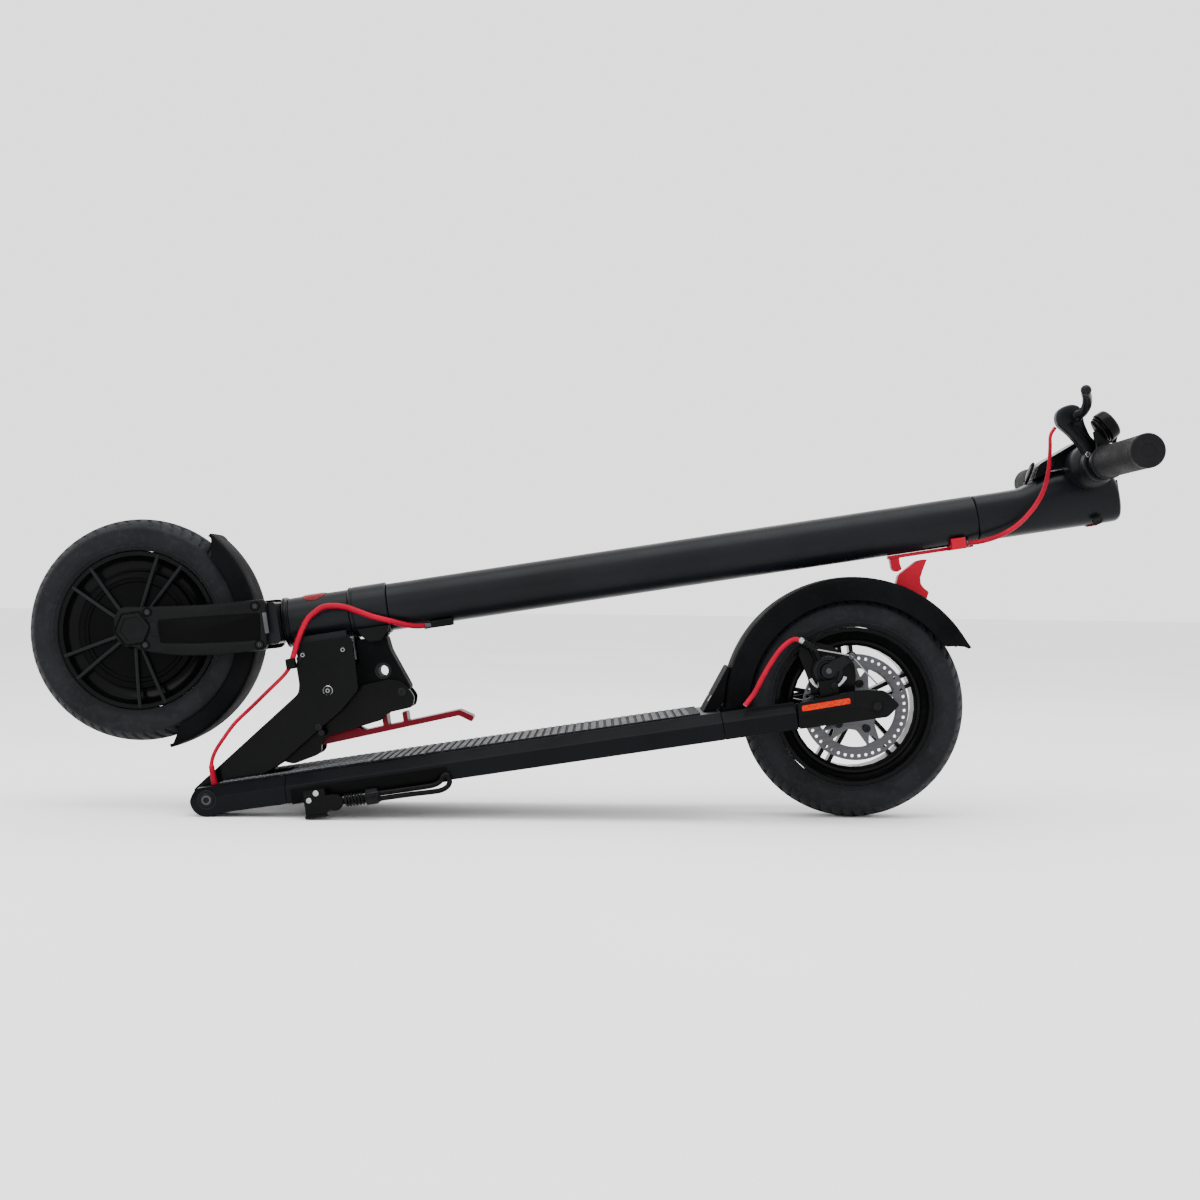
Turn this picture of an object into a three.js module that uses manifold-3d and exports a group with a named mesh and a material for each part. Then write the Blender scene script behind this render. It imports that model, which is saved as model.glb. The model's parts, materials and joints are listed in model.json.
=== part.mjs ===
// A folding electric kick scooter, modelled folded: the stem lies back over the deck and its hook
// stands in front of the catch on the rear fender. Millimetres, +Z up, +X towards the rear wheel,
// -Y is the scooter's left side. The part stands on its rear tyre and on the two hinge arm ends.
import * as THREE from "three";
import { mergeVertices } from "three/addons/utils/BufferGeometryUtils.js";
import Module from "manifold-3d";

const wasm = await Module();
wasm.setup();

// ---------- driving dimensions ----------

const GAP = 0.3; // clearance between touching pieces
const BBOX_SHIFT_X = 24.71; // moves the origin under the middle of the whole object

// wheels
const WHEEL_R = 108;
const TYRE_HALF_WIDTH = 26;
const RIM_R = 76.7;
const AXLE_R = 6;
const REAR_AXLE = { x: 621, z: -5 }; // in the deck frame
const DISC_Y = -28;
const DISC_R = 51.2;

// fold hinge: the deck frame has its origin on the hinge axis, +x towards the rear
const HINGE = { x: -367, z: 16 }; // before the shift
const ARM_NOSE_R = 15.8;
const PIN_R = 5;
const DECK_PITCH =
  Math.asin((WHEEL_R - HINGE.z) / Math.hypot(REAR_AXLE.x, REAR_AXLE.z)) -
  Math.atan2(REAR_AXLE.z, REAR_AXLE.x);

// stem: the stem frame has its x axis on the steering axis and z towards the scooter's front
const STEM_PITCH = THREE.MathUtils.degToRad(9.25);
const HINGE_IN_STEM = { x: 53.5, z: -154.4 };
const FRONT_AXLE_Z = 14.2; // fork offset
const STEM_R = 23;
const HEAD_TUBE = { from: 146, to: 204, bore: 17 };
const SLEEVE = { from: 204.6, to: 241.7, radius: 24.8 };
const STEM_TUBE = { from: 242, to: 820, wall: 2.5 };
const STEM_HEAD = { from: 820.3, to: 960.5 };
const STEERER_R = 14;

// deck
const DECK = { front: 74.3, back: 490, top: 11, bottom: -14.5, half: 72, flat: 58, shoulder: 1.5 };
const DECK_WALL = 4;
const END_WALL = 6; // the deck frame's front and back walls
const CAVITY_HALF = 60; // half width of the space for the battery
const COVER_THICK = 2;
const MAT = { front: 8, back: 471, half: 55, thick: 2 };
const SLOT_HALF = 35.6; // half width of the gap between the hinge arms
const REAR_ARM_INNER = 58;
const COVER_FROM = 560;

// fenders: radii from the axle, half width, wall and the angles that they cover, in degrees
const REAR_FENDER = {
  outer: 125.8,
  skirt: 102.8,
  half: 32,
  wall: 3,
  from: 19,
  to: 165,
  innerFrom: 26,
  innerTo: 163,
};
const FRONT_FENDER = {
  outer: 118.4,
  skirt: 100.4,
  half: 31.5,
  wall: 2.5,
  from: -81.5,
  to: 43.5,
  innerFrom: -73,
  innerTo: 35,
};

// folding bracket
const PLATE_Y = 30.6; // middle of a hinge plate
const PLATE_THICK = 5;
const LEVER_PIN = { x: 108.8, z: 44.8 };

// handlebar
const BAR = { x: 931, z: 33, radius: 11.1, half: 212 };
const BOSS = { radius: 21.6, half: 42 }; // the casting's boss round the bar
const GRIP = { from: 94, to: 217, radius: 15 };
const PERCH_Y = -66;
const BELL_Y = -85;
const THROTTLE_Y = 68;

// ---------- materials ----------

const finish = (color, roughness, metalness) =>
  new THREE.MeshStandardMaterial({ color, roughness, metalness });
const SATIN_BLACK = finish(0x1d2126, 0.45, 0.5);
const GLOSS_BLACK = finish(0x0c0c0e, 0.3, 0.1);
const MATT_BLACK = finish(0x16171a, 0.7, 0);
const RUBBER = finish(0x1b1c1f, 0.85, 0);
const RED = finish(0xc8102e, 0.45, 0.1);
const STEEL = finish(0x9a9da2, 0.3, 0.9);
const DARK_STEEL = finish(0x45474b, 0.4, 0.8);
const ORANGE = finish(0xff4a1c, 0.3, 0);
const BLUE_WRAP = finish(0x2d4f8a, 0.5, 0);

// ---------- geometry helpers ----------

// A closed geometry as a solid that can be joined and cut.
function solid(geometry) {
  const bare = geometry.index ? geometry.toNonIndexed() : geometry.clone();
  bare.deleteAttribute("normal");
  bare.deleteAttribute("uv");
  const merged = mergeVertices(bare, 1e-3);
  return new wasm.Manifold(
    new wasm.Mesh({
      numProp: 3,
      vertProperties: merged.attributes.position.array,
      triVerts: new Uint32Array(merged.index.array),
    }),
  );
}

// A solid back as a geometry.
function shell(body) {
  const mesh = body.getMesh();
  const geometry = new THREE.BufferGeometry();
  geometry.setAttribute("position", new THREE.BufferAttribute(mesh.vertProperties, 3));
  geometry.setIndex(new THREE.BufferAttribute(mesh.triVerts, 1));
  const flat = geometry.toNonIndexed();
  flat.computeVertexNormals();
  return flat;
}

const join = (...geometries) => shell(geometries.map(solid).reduce((a, b) => a.add(b)));
const cut = (geometry, ...tools) =>
  shell(tools.map(solid).reduce((a, b) => a.subtract(b), solid(geometry)));
const common = (a, b) => shell(solid(a).intersect(solid(b)));

// An outline in x and z, extruded across the scooter between two y values.
function slab(outline, yLow, yHigh, curveSegments = 10) {
  const shape = outline instanceof THREE.Shape ? outline : polygon(outline);
  const geometry = new THREE.ExtrudeGeometry(shape, {
    depth: yHigh - yLow,
    bevelEnabled: false,
    curveSegments,
  });
  return geometry.rotateX(Math.PI / 2).translate(0, yHigh, 0);
}

const polygon = (points) => new THREE.Shape(points.map(([x, z]) => new THREE.Vector2(x, z)));

// A polygon whose corners are rounded off by the same distance along both edges.
function rounded(points, reach) {
  const shape = new THREE.Shape();
  const at = (i) => new THREE.Vector2(...points[(i + points.length) % points.length]);
  for (let i = 0; i < points.length; i += 1) {
    const corner = at(i);
    const before = at(i - 1).sub(corner);
    const after = at(i + 1).sub(corner);
    const step = Math.min(reach, before.length() / 2.2, after.length() / 2.2);
    const start = corner.clone().add(before.setLength(step));
    const end = corner.clone().add(after.setLength(step));
    if (i === 0) shape.moveTo(start.x, start.y);
    else shape.lineTo(start.x, start.y);
    shape.quadraticCurveTo(corner.x, corner.y, end.x, end.y);
  }
  shape.closePath();
  return shape;
}

// A box from its low and high corners.
function block(x0, x1, y0, y1, z0, z1) {
  const geometry = new THREE.BoxGeometry(x1 - x0, y1 - y0, z1 - z0);
  return geometry.translate((x0 + x1) / 2, (y0 + y1) / 2, (z0 + z1) / 2);
}

// A cylinder across the scooter, from one y to another.
function crossBar(radius, yLow, yHigh, x, z, sides = 20) {
  const geometry = new THREE.CylinderGeometry(radius, radius, yHigh - yLow, sides);
  return geometry.translate(x, (yLow + yHigh) / 2, z);
}

// A round bar between two points.
function rod(from, to, radius, sides = 16, endRadius = radius) {
  const a = new THREE.Vector3(...from);
  const b = new THREE.Vector3(...to);
  const geometry = new THREE.CylinderGeometry(endRadius, radius, a.distanceTo(b), sides);
  const turn = new THREE.Quaternion().setFromUnitVectors(
    new THREE.Vector3(0, 1, 0),
    b.clone().sub(a).normalize(),
  );
  geometry.applyQuaternion(turn);
  const middle = a.add(b).multiplyScalar(0.5);
  return geometry.translate(middle.x, middle.y, middle.z);
}

// A profile of [radius, y] turned about the y axis; it starts and ends on the axis or closes on itself.
function turned(profile, segments = 40) {
  return new THREE.LatheGeometry(
    profile.map(([radius, y]) => new THREE.Vector2(radius, y)),
    segments,
  );
}

// A ring along the stem frame's x axis, between two x values and two radii.
function collar(from, to, inner, outer, segments = 24) {
  const ring = [
    [inner, from],
    [outer, from],
    [outer, to],
    [inner, to],
    [inner, from],
  ];
  return turned(ring, segments).rotateZ(-Math.PI / 2);
}

// A round tube of small sides along a smooth curve through the points.
function cable(points, radius, steps, sides = 8) {
  const ring = [];
  for (let i = 0; i < sides; i += 1) {
    const angle = (i / sides) * 2 * Math.PI;
    ring.push(new THREE.Vector2(radius * Math.cos(angle), radius * Math.sin(angle)));
  }
  const path = new THREE.CatmullRomCurve3(points.map((p) => new THREE.Vector3(...p)));
  return new THREE.ExtrudeGeometry(new THREE.Shape(ring), { extrudePath: path, steps });
}

// A fender: a round top shell with a skirt on each side, between two angles in degrees.
function fender(centre, { outer, skirt, half, wall, from, to, innerFrom, innerTo }) {
  const rad = THREE.MathUtils.degToRad;
  const sector = (inner, start, end, innerStart, innerEnd) => {
    const shape = new THREE.Shape();
    shape.absarc(centre.x, centre.z, outer, rad(start), rad(end), false);
    shape.absarc(centre.x, centre.z, inner, rad(innerEnd), rad(innerStart), true);
    shape.closePath();
    return shape;
  };
  const roof = slab(sector(outer - wall, from, to, from, to), -half, half, 14);
  const side = sector(skirt, from, to, innerFrom, innerTo);
  const left = slab(side, -half, wall - half, 14);
  const right = slab(side, half - wall, half, 14);
  return join(roof, left, right);
}

// ---------- groups ----------

const scooter = new THREE.Group();
scooter.position.set(BBOX_SHIFT_X, 0, 0);

const deckGroup = new THREE.Group();
deckGroup.position.set(HINGE.x, 0, HINGE.z);
deckGroup.rotation.y = -DECK_PITCH;

const stemGroup = new THREE.Group();
stemGroup.rotation.y = -STEM_PITCH;
stemGroup.position
  .set(HINGE_IN_STEM.x, 0, HINGE_IN_STEM.z)
  .applyAxisAngle(new THREE.Vector3(0, 1, 0), -STEM_PITCH)
  .multiplyScalar(-1)
  .add(new THREE.Vector3(HINGE.x, 0, HINGE.z));

scooter.add(deckGroup, stemGroup);

function put(group, name, geometry, material, x = 0, y = 0, z = 0) {
  const mesh = new THREE.Mesh(geometry, material);
  mesh.name = name;
  mesh.position.set(x, y, z);
  group.add(mesh);
  return mesh;
}

const SIDES = [
  ["left", -1],
  ["right", 1],
];

// Two y values on one side of the scooter, in rising order.
const span = (side, near, far) => (side < 0 ? [-far, -near] : [near, far]);

// ---------- deck ----------

// The deck's cross section as a prism between two x values.
function deckPrism(from, to, lowest = DECK.bottom) {
  const { top, half, flat, shoulder } = DECK;
  const section = polygon([
    [-half, lowest],
    [half, lowest],
    [half, shoulder],
    [flat, top],
    [-flat, top],
    [-half, shoulder],
  ]);
  const geometry = new THREE.ExtrudeGeometry(section, { depth: to - from, bevelEnabled: false });
  return geometry.rotateX(Math.PI / 2).rotateZ(Math.PI / 2).translate(from, 0, 0);
}

function deckFrame() {
  const { front, back, top, bottom } = DECK;
  const cavity = block(
    front + END_WALL,
    back - END_WALL,
    -CAVITY_HALF,
    CAVITY_HALF,
    bottom - 1,
    top - DECK_WALL,
  );
  return cut(deckPrism(DECK.front, DECK.back), cavity);
}

function deckBottomCover() {
  const { front, back, bottom } = DECK;
  const half = CAVITY_HALF - GAP;
  const inset = END_WALL + GAP;
  return block(front + inset, back - inset, -half, half, bottom, bottom + COVER_THICK);
}

// The tread mat, with a slot at the front for the folding bracket.
function deckMat() {
  const z0 = DECK.top + GAP;
  const sheet = block(MAT.front, MAT.back, -MAT.half, MAT.half, z0, z0 + MAT.thick);
  const slot = block(MAT.front - 1, DECK.front, -SLOT_HALF, SLOT_HALF, z0 - 1, z0 + 5);
  return cut(sheet, slot);
}

// One of the two forward arms that carry the fold hinge pin, with a rounded nose.
function hingeArm(side) {
  const nose = new THREE.Shape();
  nose.absarc(0, 0, ARM_NOSE_R, Math.PI * 0.7, Math.PI * 1.6, false);
  nose.lineTo(18, DECK.bottom + 0.5);
  nose.lineTo(DECK.front - GAP, DECK.bottom);
  nose.lineTo(DECK.front - GAP, DECK.top);
  nose.lineTo(-8, DECK.top);
  nose.closePath();
  const arm = slab(nose, ...span(side, SLOT_HALF, DECK.half), 12);
  const shaped = common(arm, deckPrism(-20, DECK.front, -17));
  return cut(shaped, crossBar(PIN_R + GAP, -80, 80, 0, 0));
}

// The rear arm: a full width root and a thinner tongue that carries the axle.
function rearArm(side) {
  const root = slab(
    [
      [DECK.back + GAP, DECK.bottom],
      [COVER_FROM - GAP, DECK.bottom],
      [COVER_FROM - GAP, DECK.top],
      [DECK.back + GAP, DECK.top],
    ],
    ...span(side, REAR_ARM_INNER, DECK.half),
  );
  const tongue = slab(
    rounded(
      [
        [DECK.back + 20, -12],
        [646, -13],
        [650, -3],
        [640, 8],
        [DECK.back + 20, 9],
      ],
      6,
    ),
    ...span(side, REAR_ARM_INNER, REAR_ARM_INNER + 7),
    4,
  );
  const shaped = common(root, deckPrism(DECK.back, COVER_FROM));
  return cut(
    join(shaped, tongue),
    crossBar(AXLE_R + GAP, -80, 80, REAR_AXLE.x, REAR_AXLE.z),
  );
}

function armCover(side) {
  const outline = rounded(
    [
      [COVER_FROM, DECK.bottom],
      [644, -15.2],
      [656.5, -5.5],
      [644.5, 9.8],
      [629, 12.8],
      [616, 13.4],
      [COVER_FROM + 2, 9.6],
    ],
    2.5,
  );
  return slab(outline, ...span(side, REAR_ARM_INNER + 7 + GAP, 74), 5);
}

function reflector(side) {
  const outline = rounded(
    [
      [565, 1.6],
      [611, 2.4],
      [611, 7.9],
      [565, 7.1],
    ],
    1.5,
  );
  return slab(outline, ...span(side, 74 + GAP, 75.3), 3);
}

// The space that the rear fender's roof takes, with a gap round it.
const fenderClearance = () =>
  crossBar(REAR_FENDER.outer + GAP, -40, 40, REAR_AXLE.x, REAR_AXLE.z, 120);

// The brace that ties the fender's front end to the deck.
function fenderBrace() {
  const wedge = slab(
    [
      [475, DECK.top + GAP],
      [489.4, DECK.top + GAP],
      [504, 27],
      [512, 50],
      [504.8, 51],
    ],
    -28,
    28,
  );
  return cut(wedge, fenderClearance());
}

// The catch on the fender, shaped like a fin with a forward slope and a rear beak.
function fenderHook() {
  const fin = slab(
    [
      [680.6, 106],
      [683.6, 113.6],
      [686.4, 116],
      [697.7, 122.4],
      [703.1, 125.5],
      [709.1, 126.2],
      [713.9, 125.6],
      [708, 115.1],
      [704.9, 108.6],
      [704.7, 102.7],
      [707, 98.4],
      [711.3, 93.9],
      [707, 85],
      [690, 92],
    ],
    -6,
    6,
  );
  return cut(fin, fenderClearance());
}

function kickstandBracket() {
  const body = slab(
    rounded(
      [
        [92, DECK.bottom - GAP],
        [113.6, DECK.bottom - GAP],
        [113.6, -27],
        [104, -28.6],
        [94, -27],
      ],
      3,
    ),
    -86,
    -60,
    3,
  );
  const cheek = block(93, 113, -86, -DECK.half - 1, -20, -4);
  const ear = crossBar(7.7, -86, -83.2, 121, -18.5);
  const earRoot = block(108, 121, -86, -83.2, -25.5, -10.5);
  return join(body, cheek, ear, earRoot);
}

put(deckGroup, "deck_frame", deckFrame(), SATIN_BLACK);
put(deckGroup, "deck_bottom_cover", deckBottomCover(), MATT_BLACK);
put(deckGroup, "deck_mat", deckMat(), RUBBER);
put(deckGroup, "hinge_pin", crossBar(PIN_R, -71.5, 71.5, 0, 0), STEEL);
put(deckGroup, "fender_brace", fenderBrace(), GLOSS_BLACK);
put(deckGroup, "fender_hook", fenderHook(), RED);
put(deckGroup, "kickstand_bracket", kickstandBracket(), GLOSS_BLACK);
for (const [label, side] of SIDES) {
  put(deckGroup, `hinge_arm_${label}`, hingeArm(side), SATIN_BLACK);
  put(deckGroup, `rear_arm_${label}`, rearArm(side), SATIN_BLACK);
  put(deckGroup, `arm_cover_${label}`, armCover(side), GLOSS_BLACK);
  put(deckGroup, `reflector_${label}`, reflector(side), ORANGE);
}
const insideLow = DECK.bottom + COVER_THICK + 0.5;
const insideHigh = DECK.top - DECK_WALL - 0.5;
const battery = block(120, 400, -52, 52, insideLow, insideHigh);
const controller = block(410, 478, -40, 40, insideLow, insideHigh);
put(deckGroup, "battery_pack", battery, BLUE_WRAP);
put(deckGroup, "controller_box", controller, STEEL);

put(deckGroup, "rear_fender", fender(REAR_AXLE, REAR_FENDER), MATT_BLACK);

// ---------- rear wheel ----------

function tyre() {
  const bead = RIM_R + GAP;
  const half = [
    [bead, -19],
    [83, -24],
    [93, -TYRE_HALF_WIDTH],
    [101, -22.5],
    [106, -14],
    [WHEEL_R, -5],
  ];
  const mirrored = half.map(([radius, y]) => [radius, -y]).reverse();
  return turned([...half, ...mirrored, [bead, -19]], 36);
}

// The cast rear rim: a barrel, five pairs of thin spokes and a hub with its bore.
function rearRim() {
  const barrel = turned(
    [
      [59, -12],
      [69, -15],
      [73, -19],
      [RIM_R, -19],
      [RIM_R, 19],
      [73, 19],
      [69, 15],
      [59, 12],
      [59, -12],
    ],
    32,
  );
  const spokes = [];
  for (let pair = 0; pair < 5; pair += 1) {
    for (const offset of [-5.5, 5.5]) {
      const spoke = block(12, 62, -8, 8, offset - 2, offset + 2);
      spokes.push(spoke.rotateY(-(pair / 5) * 2 * Math.PI - 0.3));
    }
  }
  const hub = turned(
    [
      [0, -26.6],
      [18, -26.6],
      [20, -10],
      [20, 24],
      [0, 24],
    ],
    24,
  );
  return cut(join(barrel, hub, ...spokes), crossBar(AXLE_R + GAP, -40, 40, 0, 0));
}

// The brake disc: an outer braking ring carried by a five-armed spider.
function brakeDisc() {
  const ring = new THREE.Shape();
  ring.absarc(0, 0, DISC_R, 0, 2 * Math.PI, false);
  const window = new THREE.Path();
  window.absarc(0, 0, 39, 0, 2 * Math.PI, true);
  ring.holes.push(window);
  const parts = [slab(ring, DISC_Y - 1, DISC_Y + 1, 16)];
  parts.push(crossBar(19, DISC_Y - 1, DISC_Y + 1, 0, 0));
  for (let arm = 0; arm < 5; arm += 1) {
    const spoke = block(10, 41, DISC_Y - 1, DISC_Y + 1, -4, 4);
    parts.push(spoke.rotateY(-(arm / 5) * 2 * Math.PI));
  }
  return cut(join(...parts), crossBar(9, -40, 0, 0, 0, 20));
}

const rearAt = [REAR_AXLE.x, 0, REAR_AXLE.z];
const axleHalf = REAR_ARM_INNER + 6.5;
put(deckGroup, "rear_axle", crossBar(AXLE_R, -axleHalf, axleHalf, 0, 0), STEEL, ...rearAt);
put(deckGroup, "rear_tyre", tyre(), RUBBER, ...rearAt);
put(deckGroup, "rear_rim", rearRim(), GLOSS_BLACK, ...rearAt);
put(deckGroup, "brake_disc", brakeDisc(), STEEL, ...rearAt);

// ---------- rear brake ----------

const CALIPER = { x: 597.8, z: 34.1 };
const ADJUSTER = { x: 578, z: 65 };

// The caliper body straddles the disc, with a lug to the rear arm and the cable's adjuster stop.
function brakeCaliper() {
  const body = crossBar(15.5, -44, -17.5, CALIPER.x, CALIPER.z, 28);
  const lug = block(586, 604, -REAR_ARM_INNER + GAP, -40, 2, 26);
  const { x, z } = ADJUSTER;
  const neck = rod([CALIPER.x - 6, -41, CALIPER.z + 9], [x + 8, -47, z - 6], 4.5);
  const stop = rod([x + 11, -48, z - 8.5], [x, -48, z], 3.6);
  const discSlot = crossBar(DISC_R + 3, DISC_Y - 2.2, DISC_Y + 2.2, REAR_AXLE.x, REAR_AXLE.z, 48);
  return cut(join(body, lug, neck, stop), discSlot);
}

// The arm that the cable pulls, turning on the caliper's centre.
function caliperArm() {
  const centre = [CALIPER.x, CALIPER.z];
  const clamp = [621.6, 45.1];
  const hub = crossBar(7, -51, -44 - GAP, ...centre, 20);
  const end = crossBar(4.5, -52, -46, ...clamp, 16);
  const bar = slab(
    [
      [centre[0] + 2, centre[1] - 5],
      [clamp[0] + 1, clamp[1] - 4],
      [clamp[0] - 2, clamp[1] + 4],
      [centre[0] - 3, centre[1] + 6],
    ],
    -50,
    -46,
  );
  return join(hub, end, bar);
}

put(deckGroup, "brake_caliper", brakeCaliper(), DARK_STEEL);
put(deckGroup, "caliper_arm", caliperArm(), DARK_STEEL);

const REAR_CABLE = [
  [513.5, -64, DECK.top + 3.2],
  [517, -63, 17.5],
  [524.6, -61, 25],
  [532.4, -59, 35.5],
  [542.5, -56, 48],
  [553.5, -52, 59.5],
  [563.5, -49.5, 66.5],
  [571, -48.2, 68.6],
  [577.3, -48, 65.8],
];
put(deckGroup, "rear_brake_cable", cable(REAR_CABLE, 2.4, 16), RED);

// ---------- kickstand ----------

const KICK = { x: 121, y: -79.5, z: -18.5 };

function kickstandLeg() {
  const knuckle = crossBar(6.8, -82.9, -76, KICK.x, KICK.z, 24);
  const neck = rod([KICK.x + 4, KICK.y, KICK.z], [KICK.x + 42, KICK.y, KICK.z], 3.4, 16);
  const ring = rod([149.5, KICK.y, KICK.z], [161, KICK.y, KICK.z], 6.8, 24);
  const leg = rod([160, KICK.y, KICK.z], [226, KICK.y, KICK.z - 0.8], 4, 16);
  const foot = rod([225, KICK.y, KICK.z - 5.2], [228.5, KICK.y, KICK.z + 6.5], 4.2, 16);
  return join(knuckle, neck, ring, leg, foot);
}

const kickSpring = collar(129, 149, 3.4 + GAP, 6.4, 20).translate(0, KICK.y, KICK.z);
put(deckGroup, "kickstand_leg", kickstandLeg(), GLOSS_BLACK);
put(deckGroup, "kickstand_spring", kickSpring, DARK_STEEL);

// ---------- folding bracket, drawn in the deck frame ----------

// A side plate that bolts to the head tube's block and swings on the hinge pin.
function hingePlate(side) {
  const outline = rounded(
    [
      [104.2, 132.6],
      [148.5, 132.4],
      [151.4, 129.6],
      [150.5, 81],
      [130.6, 62.9],
      [109.6, 50],
      [70.8, 24],
      [17, -1],
      [11, -12],
      [-2, -15],
      [-14, -9],
      [-20.8, 8.3],
      [92.9, 85.4],
      [95, 94],
      [94.6, 114],
    ],
    4,
  );
  const half = PLATE_THICK / 2;
  const plate = slab(outline, ...span(side, PLATE_Y - half, PLATE_Y + half), 3);
  return cut(plate, crossBar(PIN_R + GAP, -80, 80, 0, 0));
}

// The bracket that carries the latch: two cheeks joined by a web.
function latchBracket() {
  const outline = rounded(
    [
      [151.3, 83.8],
      [178.9, 86.2],
      [190, 83],
      [198.3, 72],
      [201.3, 65.7],
      [198, 56],
      [173.2, 54],
      [167.5, 48],
      [112.5, 39.9],
      [105.2, 33],
      [105, 27],
      [100.5, 23.4],
      [76, 18],
      [62, 24],
      [112, 70],
    ],
    3,
  );
  const left = slab(outline, -17.7, -14, 2);
  const right = slab(outline, 14, 17.7, 2);
  const web = block(120, 124, -16, 16, 56, 64);
  return cut(join(left, right, web), crossBar(3.4 + GAP, -40, 40, LEVER_PIN.x, LEVER_PIN.z, 16));
}

function latchHousing() {
  const outline = rounded(
    [
      [152.5, 104],
      [152.5, 128.4],
      [182, 128.4],
      [184, 114],
      [198.6, 75.4],
      [192, 68.5],
      [128, 68.5],
      [122, 74],
      [122, 104],
    ],
    3,
  );
  const body = slab(outline, -13.6, 13.6, 3);
  const spacer = crossBar(6.5, -27.7, 27.7, 131, 96);
  return cut(join(body, spacer), crossBar(5.2, -40, 40, 174.2, 94.9));
}

// The red release lever: a strip with a bent tip, two tabs and an eye on the cross pin.
function latchLever() {
  const strip = slab(
    rounded(
      [
        [103, 31.8],
        [240.7, 41.2],
        [252.3, 33.2],
        [254.8, 38.4],
        [242, 46.6],
        [103.4, 37.2],
      ],
      1.5,
    ),
    -13,
    13,
    2,
  );
  const eye = crossBar(8, -13, 13, LEVER_PIN.x, LEVER_PIN.z, 24);
  const tabs = [
    [166.5, 171.5],
    [186.5, 191],
  ].map(([x0, x1]) => block(x0, x1, -13, 13, 40, 52.2));
  return cut(
    join(strip, eye, ...tabs),
    crossBar(3.4 + GAP, -40, 40, LEVER_PIN.x, LEVER_PIN.z, 16),
  );
}

for (const [label, side] of SIDES) {
  put(deckGroup, `hinge_plate_${label}`, hingePlate(side), GLOSS_BLACK);
}
put(deckGroup, "latch_bracket", latchBracket(), GLOSS_BLACK);
put(deckGroup, "latch_housing", latchHousing(), SATIN_BLACK);
put(deckGroup, "latch_pin", crossBar(3.4, -31, 31, LEVER_PIN.x, LEVER_PIN.z, 16), STEEL);
put(deckGroup, "latch_lever", latchLever(), RED);

// The brake cable's stretch from the bracket's clamp down into the hinge arm.
const FOLD_CABLE = [
  [91, -37.5, 113.5],
  [82, -38.5, 104.3],
  [65.7, -40, 92.2],
  [49.5, -42, 80.1],
  [31.1, -44, 66.7],
  [18.6, -45, 54.1],
  [8.7, -45.5, 42.5],
  [3.9, -46, 32.6],
  [3.2, -46, 23],
  [3.6, -46, DECK.top + 0.6],
];
put(deckGroup, "fold_cable", cable(FOLD_CABLE, 2.2, 24), RED);

// ---------- head tube and fork ----------

function headTube() {
  const { from, to, bore } = HEAD_TUBE;
  const tube = collar(from, to, bore, STEM_R);
  const mount = block(from + 4, to - 4, -27.7, 27.7, -46, -16);
  const clearance = collar(from - 1, to + 1, 0.01, bore);
  return cut(join(tube, mount), clearance);
}

// One-piece fork: steerer, crown and two legs, with the axle bores.
function fork() {
  const steerer = rod([130, 0, 0], [238, 0, 0], STEERER_R, 28);
  const crown = slab(
    rounded(
      [
        [122.5, -19],
        [139.5, -19],
        [139.5, 21],
        [122.5, 21],
      ],
      4,
    ),
    -43,
    43,
    3,
  );
  const outline = rounded(
    [
      [-9, 27],
      [4, 31],
      [60, 25],
      [139.5, 21],
      [139.5, -19],
      [80, -17],
      [24, -7],
      [-6, 4],
    ],
    8,
  );
  const left = slab(outline, -43, -37, 3);
  const right = slab(outline, 37, 43, 3);
  const bore = crossBar(AXLE_R + GAP, -60, 60, 0, FRONT_AXLE_Z);
  return cut(join(steerer, crown, left, right), bore);
}

function forkCover(side) {
  const outline = rounded(
    [
      [-4.3, 37.7],
      [22.1, 33.7],
      [73.1, 27.9],
      [133, 24.8],
      [127, -23.6],
      [76.4, -21.2],
      [43.4, -16.5],
      [15.7, -8.9],
      [-9.7, 1.7],
      [-15.4, 11.5],
      [-12.7, 30],
    ],
    7,
  );
  const shield = slab(outline, ...span(side, 43 + GAP, 50.5), 4);
  const cap = crossBar(15, ...span(side, 49, 53), 4, FRONT_AXLE_Z + 1, 6);
  return join(shield, cap);
}

// The hub motor: a solid drum with its rim, turning on the fixed axle.
function hubMotor() {
  const half = [
    [AXLE_R + GAP, -32],
    [12, -32],
    [14, -26],
    [56, -21],
    [61, -11],
    [70, -11],
    [73, -19],
    [RIM_R, -19],
  ];
  const mirrored = half.map(([radius, y]) => [radius, -y]).reverse();
  return turned([...half, ...mirrored, half[0]], 32);
}

const frontAxle = { x: 0, z: FRONT_AXLE_Z };
put(stemGroup, "head_tube", headTube(), SATIN_BLACK);
put(stemGroup, "headset_bearing", collar(140, 145.6, STEERER_R + GAP, 23.4), DARK_STEEL);
put(stemGroup, "fork", fork(), SATIN_BLACK);
put(stemGroup, "front_axle", crossBar(AXLE_R, -42.6, 42.6, 0, 0), STEEL, 0, 0, FRONT_AXLE_Z);
put(stemGroup, "front_tyre", tyre(), RUBBER, 0, 0, FRONT_AXLE_Z);
put(stemGroup, "hub_motor", hubMotor(), GLOSS_BLACK, 0, 0, FRONT_AXLE_Z);
put(stemGroup, "front_fender", fender(frontAxle, FRONT_FENDER), MATT_BLACK);
for (const [label, side] of SIDES) {
  put(stemGroup, `fork_cover_${label}`, forkCover(side), MATT_BLACK);
}

// ---------- stem ----------

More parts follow.
